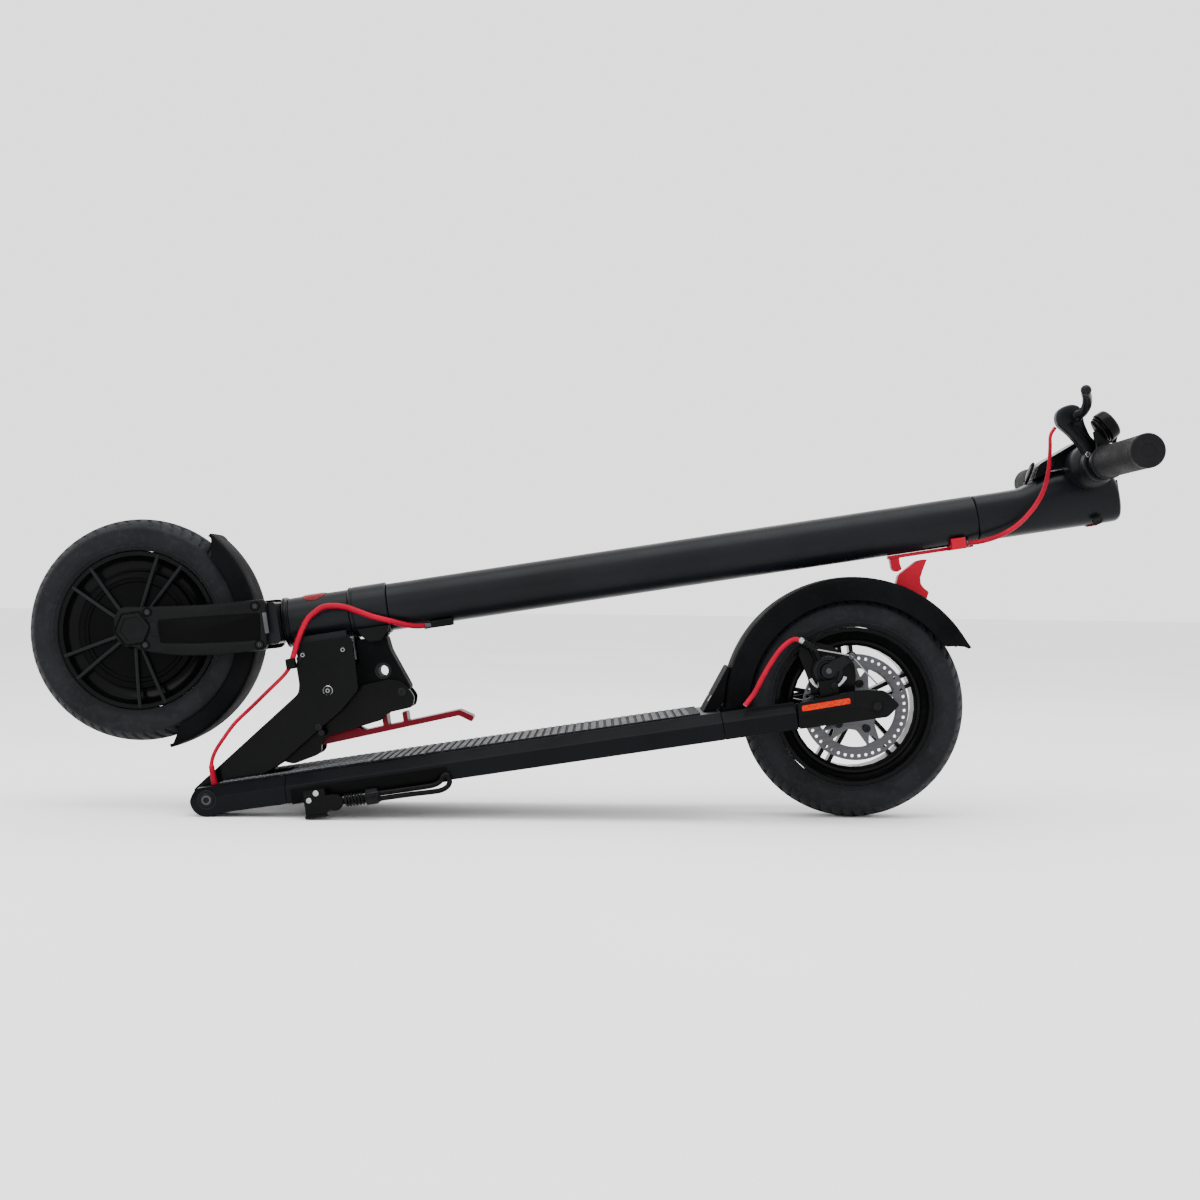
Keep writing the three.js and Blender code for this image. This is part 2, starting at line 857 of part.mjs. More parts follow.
function stemHook() {
  const j = rounded(
    [
      [815, -26.7],
      [741.4, -26.7],
      [741.6, -34],
      [742.8, -37.8],
      [738.2, -40],
      [734.3, -38.9],
      [732.6, -36.2],
      [732.4, -23.6],
      [815, -23.6],
    ],
    1.2,
  );
  const arm = slab(j, -4.5, 4.5, 2);
  const port = block(791, 805, -21, 4.5, -27, -16);
  const stem = collar(700, 830, 0.01, STEM_R + GAP);
  return cut(join(arm, port), stem);
}

const sleeve = collar(SLEEVE.from, SLEEVE.to, STEERER_R + GAP, SLEEVE.radius);
const tube = collar(STEM_TUBE.from, STEM_TUBE.to, STEM_R - STEM_TUBE.wall, STEM_R, 32);
put(stemGroup, "stem_sleeve", sleeve, SATIN_BLACK);
put(stemGroup, "stem_tube", tube, SATIN_BLACK);
put(stemGroup, "stem_hook", stemHook(), RED);

// The brake cable's loop from the port under the stem to the bracket's clamp.
const LOOP_CABLE = [
  [276, -15, -23],
  [266, -18, -22],
  [255.3, -22, -18.6],
  [241.1, -26, -12.5],
  [226.5, -28.5, -6.2],
  [213, -29.5, 1.1],
  [203, -30, 6.1],
  [192.8, -30, 8.9],
  [182.1, -30, 9.3],
  [173.8, -30.5, 5.6],
  [166.1, -32, 0],
  [159.9, -34.5, -8.8],
  [154.5, -36.5, -18.7],
  [150.1, -37.3, -28.7],
  [145.5, -37.5, -39],
];
put(stemGroup, "loop_cable", cable(LOOP_CABLE, 3, 28), RED);

// ---------- handlebar head ----------

const headOutline = [
  [STEM_HEAD.from, -22.6],
  [STEM_HEAD.from, 22.6],
  [868, 23.5],
  [884, 30],
  [900, 34.8],
  [948, 34.8],
  [955, 27],
  [STEM_HEAD.to, 20.5],
  [STEM_HEAD.to, -13],
  [956, -22.6],
];

// The casting at the stem's top, bored for the handlebar.
function stemHead() {
  const { from, to } = STEM_HEAD;
  const sideView = slab(headOutline, -22.6, 22.6);
  const octagon = rod([from, 0, 0], [to, 0, 0], 29.5, 8).rotateX(Math.PI / 8);
  const crest = block(from, to, -17.5, 17.5, 0, 40);
  const boss = crossBar(BOSS.radius, -BOSS.half, BOSS.half, BAR.x, BAR.z, 32);
  const casting = join(common(sideView, join(octagon, crest)), boss);
  const buttonWell = rod([933, 0, -30], [933, 0, -19], 6, 20);
  return cut(casting, crossBar(BAR.radius + GAP, -50, 50, BAR.x, BAR.z), buttonWell);
}

// The plastic cover in front of the casting, with the headlight on its lower end.
function frontHousing() {
  const outline = rounded(
    [
      [880, 29],
      [886.5, 42.6],
      [928, 59.5],
      [941, 58],
      [941, 40],
      [899, 35.3],
    ],
    3,
  );
  const cover = slab(outline, -18, 18, 3);
  return cut(cover, crossBar(BOSS.radius + GAP, -50, 50, BAR.x, BAR.z, 32));
}

function grip(side) {
  const sleeve = crossBar(GRIP.radius, ...span(side, GRIP.from, GRIP.to), BAR.x, BAR.z, 28);
  const depth = span(side, GRIP.from - 1, BAR.half + GAP);
  const bore = crossBar(BAR.radius + GAP, ...depth, BAR.x, BAR.z);
  return cut(sleeve, bore);
}

// A clamp ring round the handlebar between two y values.
function barClamp(yLow, yHigh, radius) {
  return crossBar(radius, yLow, yHigh, BAR.x, BAR.z, 28);
}

const barBore = () => crossBar(BAR.radius + GAP, -300, 300, BAR.x, BAR.z, 24);

// The brake lever's perch: its clamp, an arm, the pivot barrel and the cable exit.
function brakePerch() {
  const arm = slab(
    [
      [922, 44],
      [904, 80],
      [918, 86],
      [938, 47],
    ],
    PERCH_Y - 6,
    PERCH_Y + 6,
  );
  const barrel = crossBar(10, PERCH_Y - 6, PERCH_Y + 8, 911, 82.5, 20);
  const exit = rod([909, PERCH_Y, 82], [896, PERCH_Y, 74], 4.6, 16);
  return cut(join(barClamp(PERCH_Y - 7, PERCH_Y + 7, 17), arm, barrel, exit), barBore());
}

const LEVER_ROOT = [914, PERCH_Y - 13, 80];

// The brake lever: a boss beside the perch and a curved blade with a ball end.
function brakeLever() {
  const boss = new THREE.SphereGeometry(6.5, 12, 8).translate(...LEVER_ROOT);
  const path = [
    LEVER_ROOT,
    [914, -90, 82],
    [912, -110, 87],
    [905.5, -135, 92],
    [898.5, -156, 95],
    [895, -170, 96],
  ];
  const blade = cable(path, 3.6, 10);
  const ball = new THREE.SphereGeometry(5, 10, 6).translate(895, -172, 96);
  return join(boss, blade, ball);
}

// The bell: a clamp, a post and a stepped round cup tilted towards the rider.
function bellBody() {
  const post = block(924, 936, BELL_Y - 5, BELL_Y + 3, 44, 63);
  const foot = [929, BELL_Y, 62];
  const along = [0.88, 0, 0.475];
  const at = (d) => foot.map((v, i) => v + along[i] * d);
  const plate = rod(at(0), at(3.5), 12, 28);
  const cup = rod(at(3), at(16), 14.4, 32, 13);
  const clamp = barClamp(BELL_Y - 6, BELL_Y + 4, 14.4);
  return cut(join(clamp, post, plate, cup), barBore());
}

function bellLever() {
  const stub = block(939, 947, BELL_Y + 14.2, BELL_Y + 17.2, 50.5, 55);
  const thumb = rod([946, BELL_Y + 15.8, 50], [949, BELL_Y + 15.8, 58], 2.4, 12);
  return join(stub, thumb);
}

// The thumb throttle on the right: a round housing and a sprung paddle beside it.
function throttleHousing() {
  const ring = barClamp(THROTTLE_Y - 6, THROTTLE_Y + 8, 18.5);
  return cut(ring, barBore());
}

function throttleLever() {
  const ring = barClamp(THROTTLE_Y + 8.3, THROTTLE_Y + 14, 16.5);
  const paddle = slab(
    rounded(
      [
        [927, 21],
        [931, 1],
        [938, -4],
        [943, 0],
        [940, 22],
      ],
      3,
    ),
    THROTTLE_Y + 8.3,
    THROTTLE_Y + 22,
    3,
  );
  return cut(join(ring, paddle), barBore());
}

put(stemGroup, "stem_head", stemHead(), SATIN_BLACK);
put(stemGroup, "front_housing", frontHousing(), GLOSS_BLACK);
put(stemGroup, "handlebar", crossBar(BAR.radius, -BAR.half, BAR.half, BAR.x, BAR.z), SATIN_BLACK);
put(stemGroup, "brake_perch", brakePerch(), GLOSS_BLACK);
put(stemGroup, "brake_lever", brakeLever(), GLOSS_BLACK);
put(stemGroup, "bell_body", bellBody(), GLOSS_BLACK);
put(stemGroup, "bell_lever", bellLever(), GLOSS_BLACK);
put(stemGroup, "throttle_housing", throttleHousing(), GLOSS_BLACK);
put(stemGroup, "throttle_lever", throttleLever(), GLOSS_BLACK);
for (const [label, side] of SIDES) {
  put(stemGroup, `grip_${label}`, grip(side), RUBBER);
}
const button = rod([933, 0, -24.2], [933, 0, -21.5], 5.4, 20);
put(stemGroup, "mode_button", button, RED);

// The brake cable from the perch down to its port under the stem.
const UPPER_CABLE = [
  [894.9, PERCH_Y, 73.2],
  [889.5, -65, 66],
  [888, -62, 54],
  [885.6, -56, 36],
  [880.5, -47, 17.5],
  [870.5, -39, 2],
  [854.4, -32, -12],
  [836, -26.5, -20],
  [819, -20.5, -22.8],
  [806, -15.5, -22.2],
];
put(stemGroup, "upper_brake_cable", cable(UPPER_CABLE, 2.8, 26), RED);

export default scooter;
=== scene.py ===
"""Looks of the folding electric kick scooter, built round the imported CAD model.

Local frames, in millimetres: the deck frame has its origin on the fold hinge and +x towards the
rear wheel, and the stem frame has its x axis on the steering axis and +z towards the front.
-Y is the scooter's left side, which faces the camera.
"""
import json
import math

import bmesh
import bpy
from mathutils import Matrix, Vector


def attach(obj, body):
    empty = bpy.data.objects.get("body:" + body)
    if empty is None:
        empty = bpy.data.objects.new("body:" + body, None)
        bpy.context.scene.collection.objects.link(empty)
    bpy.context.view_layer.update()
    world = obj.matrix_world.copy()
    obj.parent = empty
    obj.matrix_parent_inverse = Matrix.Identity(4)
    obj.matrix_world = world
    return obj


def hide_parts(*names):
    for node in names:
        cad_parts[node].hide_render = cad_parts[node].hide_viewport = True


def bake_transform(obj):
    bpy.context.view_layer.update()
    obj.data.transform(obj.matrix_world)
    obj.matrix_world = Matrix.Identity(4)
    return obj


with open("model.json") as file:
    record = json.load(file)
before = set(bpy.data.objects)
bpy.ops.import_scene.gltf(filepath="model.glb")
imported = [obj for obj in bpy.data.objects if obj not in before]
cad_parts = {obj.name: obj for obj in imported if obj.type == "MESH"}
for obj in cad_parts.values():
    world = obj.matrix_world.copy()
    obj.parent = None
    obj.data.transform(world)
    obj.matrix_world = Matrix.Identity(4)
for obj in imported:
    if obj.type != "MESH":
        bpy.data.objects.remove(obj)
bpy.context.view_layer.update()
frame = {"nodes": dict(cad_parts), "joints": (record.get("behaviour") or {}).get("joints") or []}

MM = 0.001
TAU = 2 * math.pi

# ---------- frames ----------

JOINTS = {joint["name"]: joint for joint in frame["joints"]}


def joint_point(name):
    return Vector(JOINTS[name]["pos_m"])


HINGE = joint_point("stem_fold")
REAR_HUB = joint_point("rear_wheel_spin")
FRONT_HUB = joint_point("front_wheel_spin")
STEER = JOINTS["steering_turn"]["axis"]
STEM_PITCH = math.atan2(STEER[2], STEER[0])
REAR_HUB_IN_DECK = (621, -5)
FRONT_HUB_IN_STEM = (0, 14.2)
HINGE_IN_STEM = Vector((53.5, 0, -154.4)) * MM
DECK_PITCH = math.atan2(REAR_HUB.z - HINGE.z, REAR_HUB.x - HINGE.x) - math.atan2(
    REAR_HUB_IN_DECK[1], REAR_HUB_IN_DECK[0]
)


def pitched(origin, pitch):
    return Matrix.Translation(origin) @ Matrix.Rotation(-pitch, 4, "Y")


DECK = pitched(HINGE, DECK_PITCH)
STEM = pitched(HINGE, STEM_PITCH) @ Matrix.Translation(-HINGE_IN_STEM)
REAR_WHEEL = pitched(REAR_HUB, DECK_PITCH)
FRONT_WHEEL = pitched(FRONT_HUB, STEM_PITCH)
FRAMES = {
    "deck": DECK, "kickstand": DECK, "release_lever": DECK, "brake_arm": DECK,
    "front_frame": DECK, "steering": STEM, "brake_lever_body": STEM,
    "front_wheel": FRONT_WHEEL, "rear_wheel": REAR_WHEEL,
}


def linked(name, data):
    """A new object in the scene."""
    obj = bpy.data.objects.new(name, data)
    bpy.context.scene.collection.objects.link(obj)
    return obj


# ---------- camera, light and floor ----------

CAMERA_DISTANCE = 1.75
CAMERA_HEIGHT = 0.2081
CAMERA_X = 0.02471
CAMERA_ROLL = math.radians(0.68)
LENS, SENSOR = 53.64, 36
SKY = 2.1


def camera():
    data = bpy.data.cameras.new("camera")
    data.lens, data.sensor_width = LENS, SENSOR
    data.clip_end = 100
    obj = linked("camera", data)
    obj.matrix_world = (
        Matrix.Translation((CAMERA_X, -CAMERA_DISTANCE, CAMERA_HEIGHT))
        @ Matrix.Rotation(math.pi / 2, 4, "X")
        @ Matrix.Rotation(CAMERA_ROLL, 4, "Z")
    )
    bpy.context.scene.camera = obj


def softbox(name, place, target, size, power):
    data = bpy.data.lights.new(name, "AREA")
    data.shape = "RECTANGLE"
    data.size, data.size_y = size
    data.energy = power
    obj = linked(name, data)
    obj.location = place
    obj.rotation_euler = (Vector(target) - Vector(place)).to_track_quat("-Z", "Y").to_euler()


def studio():
    world = bpy.data.worlds.new("studio")
    bpy.context.scene.world = world
    world.use_nodes = True
    sky = world.node_tree.nodes["Background"].inputs
    sky["Color"].default_value = (1, 1, 1, 1)
    sky["Strength"].default_value = SKY
    softbox("overhead", (0.1, -0.4, 2.4), (0, 0, 0.1), (2.6, 1.6), 54)
    softbox("front_left", (-1.6, -2.2, 1.5), (-0.1, 0, 0.2), (1.2, 1.2), 20)
    softbox("back_rim", (0.8, 1.9, 1.6), (0.1, 0, 0.2), (2.0, 0.8), 6)
    bm = bmesh.new()
    bmesh.ops.create_circle(bm, cap_ends=True, segments=96, radius=24)
    floor = mesh_object("floor", bm, Matrix.Identity(4), FLOOR)


# ---------- materials ----------


class Shader:
    """A principled material whose colour, roughness and bump come from procedural nodes."""

    def __init__(self, name, metallic=0.0, coat=0.0, coat_roughness=0.1, specular=0.5, **constants):
        self.material = bpy.data.materials.new(name)
        self.material.use_nodes = True
        self.tree = self.material.node_tree
        self.bsdf = self.tree.nodes["Principled BSDF"]
        values = {
            "Metallic": metallic,
            "Coat Weight": coat,
            "Coat Roughness": coat_roughness,
            "Specular IOR Level": specular,
            **constants,
        }
        for socket, value in values.items():
            self.bsdf.inputs[socket].default_value = value
        self.coords = self.node("ShaderNodeTexCoord").outputs["Object"]

    def node(self, kind, **settings):
        made = self.tree.nodes.new(kind)
        for key, value in settings.items():
            if key.startswith("in_"):
                made.inputs[key[3:].replace("_", " ")].default_value = value
            else:
                setattr(made, key, value)
        return made

    def link(self, source, target):
        self.tree.links.new(source, target)

    def stretched(self, scale):
        mapping = self.node("ShaderNodeMapping")
        mapping.inputs["Scale"].default_value = scale
        self.link(self.coords, mapping.inputs["Vector"])
        return mapping.outputs["Vector"]

    def noise(self, scale, detail=4.0, stretch=None):
        made = self.node("ShaderNodeTexNoise", in_Scale=scale, in_Detail=detail)
        self.link(self.stretched(stretch) if stretch else self.coords, made.inputs["Vector"])
        return made.outputs["Fac"]

    def patches(self, scale, low, high, start=0, end=1, detail=4.0, stretch=None):
        """Noise whose levels from low to high are spread from start to end."""
        return self.range(self.noise(scale, detail, stretch), low, high, start, end)

    def cells(self, scale):
        made = self.node("ShaderNodeTexVoronoi", in_Scale=scale)
        self.link(self.coords, made.inputs["Vector"])
        return made.outputs["Distance"]

    def range(self, value, low, high, to_low, to_high):
        made = self.node(
            "ShaderNodeMapRange",
            in_From_Min=low, in_From_Max=high, in_To_Min=to_low, in_To_Max=to_high,
        )
        self.link(value, made.inputs["Value"])
        return made.outputs["Result"]

    def math(self, operation, a, b):
        made = self.node("ShaderNodeMath", operation=operation)
        for socket, value in zip(made.inputs, (a, b)):
            if isinstance(value, (int, float)):
                socket.default_value = value
            else:
                self.link(value, socket)
        return made.outputs[0]

    def mix(self, factor, a, b):
        made = self.node("ShaderNodeMix", data_type="RGBA")
        self.link(factor, made.inputs["Factor"])
        colors = [socket for socket in made.inputs if socket.type == "RGBA"]
        for socket, value in zip(colors, (a, b)):
            if isinstance(value, tuple):
                socket.default_value = (*value, 1)
            else:
                self.link(value, socket)
        return next(socket for socket in made.outputs if socket.type == "RGBA")

    def shades(self, factor, color, dark, light):
        return self.mix(factor, tinted(color, dark), tinted(color, light))

    def color(self, value):
        self.link(value, self.bsdf.inputs["Base Color"])

    def roughness(self, value):
        self.link(value, self.bsdf.inputs["Roughness"])

    def bump(self, height, distance, strength=1.0):
        made = self.node("ShaderNodeBump", in_Strength=strength, in_Distance=distance)
        self.link(height, made.inputs["Height"])
        before = self.bsdf.inputs["Normal"].links
        if before:
            self.link(before[0].from_socket, made.inputs["Normal"])
        self.link(made.outputs["Normal"], self.bsdf.inputs["Normal"])


def tinted(color, factor):
    return tuple(min(1.0, c * factor) for c in color)


def painted(name, color, rough, peel=0.00002, **constants):
    """Sprayed paint: cloudy tone, fine metallic specks, orange peel and a few rubbed scratches."""
    s = Shader(name, **constants)
    tone = s.shades(s.patches(14, 0.35, 0.65), color, 0.8, 1.25)
    specks = s.range(s.cells(1600), 0.0, 0.16, 1, 0)
    tone = s.mix(s.math("MULTIPLY", specks, 0.5), tone, tinted(color, 3.2))
    scratches = s.patches(60, 0.66, 0.72, detail=8, stretch=(1, 14, 14))
    s.color(s.mix(s.math("MULTIPLY", scratches, 0.35), tone, tinted(color, 3.0)))
    wear_and_glints = s.patches(30, 0.3, 0.7, rough - 0.05, rough + 0.07)
    s.roughness(s.math("ADD", wear_and_glints, s.math("MULTIPLY", scratches, 0.12)))
    s.bump(s.noise(520, 2), peel)
    return s.material


def moulded(name, color, rough, grain=900, depth=0.00004, **constants):
    """Moulded plastic or rubber with a fine spark-eroded grain and rubbed patches."""
    s = Shader(name, **constants)
    tone = s.shades(s.patches(22, 0.35, 0.65), color, 0.78, 1.25)
    s.color(s.mix(s.patches(160, 0.58, 0.8, 0, 0.35, 8), tone, tinted(color, 2.4)))
    s.roughness(s.patches(45, 0.3, 0.7, rough - 0.08, rough + 0.08, 6))
    s.bump(s.cells(grain), depth)
    s.bump(s.noise(90, 3), depth * 0.8)
    return s.material


def metal(name, color, rough, brush=(4, 60, 60), depth=0.00001):
    """Worked metal: brushed lines, tone changes and stained patches."""
    s = Shader(name, metallic=1.0)
    lines = s.noise(60, 6, brush)
    tone = s.shades(s.range(lines, 0.3, 0.7, 0, 1), color, 0.8, 1.15)
    s.color(s.mix(s.patches(40, 0.45, 0.75, 0, 0.5, 6), tone, tinted(color, 0.55)))
    s.roughness(s.range(lines, 0.3, 0.7, rough - 0.08, rough + 0.12))
    s.bump(lines, depth)
    return s.material


def tread_rubber():
    """Tyre rubber: dull black with dusty patches and a fine cured skin."""
    s = Shader("tyre_rubber", specular=0.1, **{"Sheen Weight": 0.03, "Sheen Roughness": 0.5})
    tone = s.shades(s.patches(26, 0.3, 0.7, detail=6), (0.0046, 0.0051, 0.0062), 0.8, 1.5)
    s.color(s.mix(s.patches(210, 0.52, 0.85, 0, 0.6, 8), tone, (0.0145, 0.0152, 0.0172)))
    s.roughness(s.patches(70, 0.3, 0.7, 0.56, 0.78, 5))
    s.bump(s.cells(700), 0.00008)
    s.bump(s.noise(60, 4), 0.00015)
    return s.material


def ground_disc():
    """Ground steel with concentric grinding rings and faint heat tint."""
    s = Shader("disc_steel", metallic=1.0)
    split = s.node("ShaderNodeSeparateXYZ")
    s.link(s.coords, split.inputs["Vector"])
    squares = [s.math("POWER", split.outputs[way], 2.0) for way in "XZ"]
    radius = s.math("SQRT", s.math("ADD", *squares), 0)
    texture = s.node("ShaderNodeTexNoise", noise_dimensions="1D", in_Scale=2400, in_Detail=3)
    s.link(radius, texture.inputs["W"])
    rings = texture.outputs["Fac"]
    tone = s.mix(s.range(rings, 0.3, 0.7, 0, 1), (0.042, 0.042, 0.046), (0.078, 0.078, 0.084))
    s.color(s.mix(s.patches(55, 0.5, 0.8, 0, 0.4, 5), tone, (0.036, 0.034, 0.033)))
    s.roughness(s.range(rings, 0.3, 0.7, 0.22, 0.4))
    s.bump(rings, 0.00001)
    return s.material


def prism_lens(name, color, pitch):
    """A moulded reflector: rows of small prisms under a clear glossy skin."""
    s = Shader(name, coat=0.03, coat_roughness=0.05, specular=0.05)
    prisms = s.cells(pitch)
    s.color(s.shades(s.range(prisms, 0.0, 0.7, 0, 1), color, 1.1, 0.6))
    s.roughness(s.patches(120, 0.3, 0.7, 0.12, 0.25))
    s.bump(prisms, 0.0004)
    return s.material


def mat_rubber(name, base, glint_grey):
    """The deck mat: grey-black rubber with a gritty surface, whose light specks are painted glints.
    """
    s = Shader(name, specular=0.04)
    grit_and_glints = s.range(s.cells(420), 0.0, 0.35, 1, 0)
    tone = s.shades(s.patches(35, 0.3, 0.7, detail=5), base, 0.8, 1.5)
    # Light specks mixed into the colour: painted glints.
    s.color(s.mix(s.math("MULTIPLY", grit_and_glints, 0.55), tone, (glint_grey,) * 3))
    s.roughness(s.range(grit_and_glints, 0, 1, 0.62, 0.34))
    s.bump(s.cells(420), 0.0003)
    return s.material


def floor_paint():
    s = Shader("floor", specular=0.2)
    s.color(s.mix(s.patches(1.5, 0.4, 0.6), (0.83,) * 3, (0.86,) * 3))
    s.roughness(s.patches(6, 0.3, 0.7, 0.75, 0.85))
    return s.material


BLUE_BLACK = (0.0029, 0.0034, 0.0046)
BLACK = (0.0018, 0.0019, 0.0021)
CRIMSON = (0.25, 0.0006, 0.011)
# Each material has its name, its colour, its roughness and what else sets it apart.
SATIN = painted("satin_paint", BLUE_BLACK, 0.36, coat=0.03, coat_roughness=0.25, specular=0.09)
# A darker copy of the satin paint for the deck and its arms: painted shade against the floor's
# bounced light.
SHADED_DECK_PAINT = painted(
    "deck_paint_shaded", tinted(BLUE_BLACK, 0.6), 0.4, coat=0.02, coat_roughness=0.25, specular=0.055
)
GLOSS = moulded(
    "gloss_black", BLACK, 0.24, 300, 0.000008, coat=0.03, coat_roughness=0.08, specular=0.045
)
MATTE = moulded("matte_black", tinted(BLACK, 1.5), 0.46, 1300, 0.00003, specular=0.07)
DEEP = moulded("deep_black", tinted(BLACK, 0.5), 0.4, 700, 0.00002, specular=0.035)
FENDER = moulded("fender_black", tinted(BLACK, 1.7), 0.62, 1300, 0.00003, specular=0.015)
GRIP = moulded("grip_rubber", (0.0042, 0.0042, 0.0050), 0.62, 700, 0.00005, specular=0.09)
TYRE = tread_rubber()
MAT = mat_rubber("mat_rubber", (0.0062, 0.0066, 0.0076), 0.09)
# Lighter rubber for the raised tops of the mat: a painted highlight where light catches them.
MAT_LIT_TOPS = mat_rubber("mat_tops_painted_highlight", (0.062, 0.063, 0.068), 0.4)
RED = painted("red_paint", CRIMSON, 0.32, coat=0.03, coat_roughness=0.15, specular=0.08)
DARK_RED = painted("lever_red", (0.085, 0.0005, 0.006), 0.36, specular=0.07)
SHEATH = moulded("red_sheath", (0.25, 0.0005, 0.014), 0.34, 1100, 0.00002, specular=0.06)
RED_LENS = prism_lens("red_lens", (0.17, 0.001, 0.006), 700)
ORANGE = prism_lens("orange_reflector", (0.55, 0.022, 0.002), 520)
WHITE_LENS = prism_lens("lamp_lens", (0.08, 0.084, 0.092), 380)
STEEL = metal("steel", (0.24, 0.24, 0.25), 0.26)
GREY_STEEL = metal("grey_steel", (0.06, 0.06, 0.065), 0.34)
DARK_STEEL = metal("dark_steel", (0.012, 0.0122, 0.0135), 0.34)
DISC = ground_disc()
SILVER = metal("bright_fittings", (0.36, 0.36, 0.37), 0.2, (20, 20, 20))
WRAP = moulded("battery_wrap", (0.02, 0.05, 0.15), 0.4, 300, 0.00003)
CASE = metal("controller_case", (0.25, 0.26, 0.27), 0.35)
FLOOR = floor_paint()

SLOTS = {
    "satin_paint": (SATIN,),
    "gloss_black": (GLOSS,),
    "matte_black": (MATTE, DEEP, FENDER),
    "grip_rubber": (GRIP,),
    "tyre_rubber": (TYRE,),
    "mat_rubber": (MAT,),
    "red_paint": (RED, DARK_RED),
    "red_sheath": (SHEATH,),
    "red_lens": (RED_LENS,),
    "steel": (STEEL, GREY_STEEL, SILVER),
    "dark_steel": (DARK_STEEL,),
    "disc_steel": (DISC,),
}
SLOT_OF = {material: slot for slot, materials in SLOTS.items() for material in materials}

# ---------- mesh code ----------
# A shape is (points, faces) in millimetres of its own local frame.

LEFT = (0, -1, 0)
REARWARD = (1, 0, 0)


def mesh_object(name, source, place, material, sharp=32):
    """A shape or bmesh made in the frame `place`, with smooth faces and sharp creases.
    The frame's turn goes into the mesh, so that the object's own box lies square."""
    mesh = bpy.data.meshes.new(name)
    if isinstance(source, tuple):
        points, faces = source
        mesh.from_pydata([(x * MM, y * MM, z * MM) for x, y, z in points], [], faces)
        source = bmesh.new()
        source.from_mesh(mesh)
        bmesh.ops.remove_doubles(source, verts=source.verts, dist=1e-6)
        bmesh.ops.recalc_face_normals(source, faces=source.faces)
    source.to_mesh(mesh)
    source.free()
    mesh.transform(place.to_3x3().to_4x4())
    mesh.shade_smooth()
    mesh.set_sharp_from_angle(angle=math.radians(sharp))
    mesh.materials.append(material)
    obj = linked(name, mesh)
    obj.location = place.translation
    return obj


def piece(name, shape, material, body, node=None, slot=None, sharp=32, place=None):
    """Makes a piece that rides on a body, and stands for the CAD node that it replaces.
    Its slot would be its material's, unless another is given ("" for none), but nothing uses it."""
    obj = mesh_object(name, shape, place or FRAMES[body], material, sharp)
    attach(obj, body)
    if node:
        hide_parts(node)
    slot = SLOT_OF.get(material) if slot is None else slot
    return obj


def bridge(name, shape, place, material, node=None):
    """A cable between two bodies, made as one still mesh with its frame baked in and tied to
    neither body.
    """
    obj = mesh_object(name, shape, place, material)
    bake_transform(obj)
    if node:
        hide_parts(node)


def merged(*shapes):
    points, faces = [], []
    for more_points, more_faces in shapes:
        start = len(points)
        points += more_points
        faces += [tuple(i + start for i in face) for face in more_faces]
    return points, faces


def moved(shape, matrix):
    points, faces = shape
    return [tuple(matrix @ Vector(p)) for p in points], faces


def shifted(shape, x=0.0, y=0.0, z=0.0):
    return moved(shape, Matrix.Translation((x, y, z)))


def mirrored(shape):
    points, faces = shape
    return [(x, -y, z) for x, y, z in points], faces


def both(*shapes):
    """The shapes and their mirror images on the scooter's other side."""
    left = merged(*shapes)
    return merged(left, mirrored(left))


def skin(rows, count, caps=False):
    """Faces between `rows` loops of `count` points, and over the first and last loop if caps."""
    faces = []
    for start in range(0, (rows - 1) * count, count):
        for k in range(count):
            m = (k + 1) % count
            faces.append((start + k, start + m, start + count + m, start + count + k))
    if caps:
        faces += [tuple(range(count)), tuple((rows - 1) * count + k for k in range(count))]
    return faces


def lathe(profile, segments=96, radius_at=None):
    """A profile of (radius, y) turned about the y axis. radius_at(radius, y, angle) may vary it."""
    points, faces, rows = [], [], len(profile)
    for angle in circle(segments):
        for radius, y in profile:
            r = radius_at(radius, y, angle) if radius_at else radius
            points.append((r * math.cos(angle), y, r * math.sin(angle)))
    for k in range(segments):
        here, there = k * rows, ((k + 1) % segments) * rows
        for i in range(rows - 1):
            faces.append((here + i, here + i + 1, there + i + 1, there + i))
    return points, faces


def turned_to(shape, at, axis):
    """A shape made about the y axis, moved so that its y axis lies along `axis` from `at`."""
    turn = Vector((0, 1, 0)).rotation_difference(Vector(axis).normalized()).to_matrix().to_4x4()
    return moved(shape, Matrix.Translation(at) @ turn)


def turned(profile, segments, at, axis=LEFT, radius_at=None):
    """A closed lathe profile, turned about `axis` from `at`."""
    return turned_to(lathe(profile + [profile[0]], segments, radius_at), at, axis)


def washer(inner, outer, height, at, segments=40, top=None):
    """A flat ring that stands out to the left, with its outer edge eased to `top`."""
    return turned([(inner, 0), (outer, 0), (top or outer, height), (inner, height)], segments, at)


def along_stem(profile):
    """A closed profile of (radius, x) turned about the x axis."""
    return moved(lathe(profile + [profile[0]], 96), Matrix.Rotation(-math.pi / 2, 4, "Z"))


def notched(count, depth, beyond):
    """A radius_at that cuts notches into the parts of a lathe shape beyond a radius."""

    def radius_at(radius, y, angle):
        return radius - (depth if radius > beyond and angle / TAU * count % 1.0 < 0.4 else 0.0)

    return radius_at


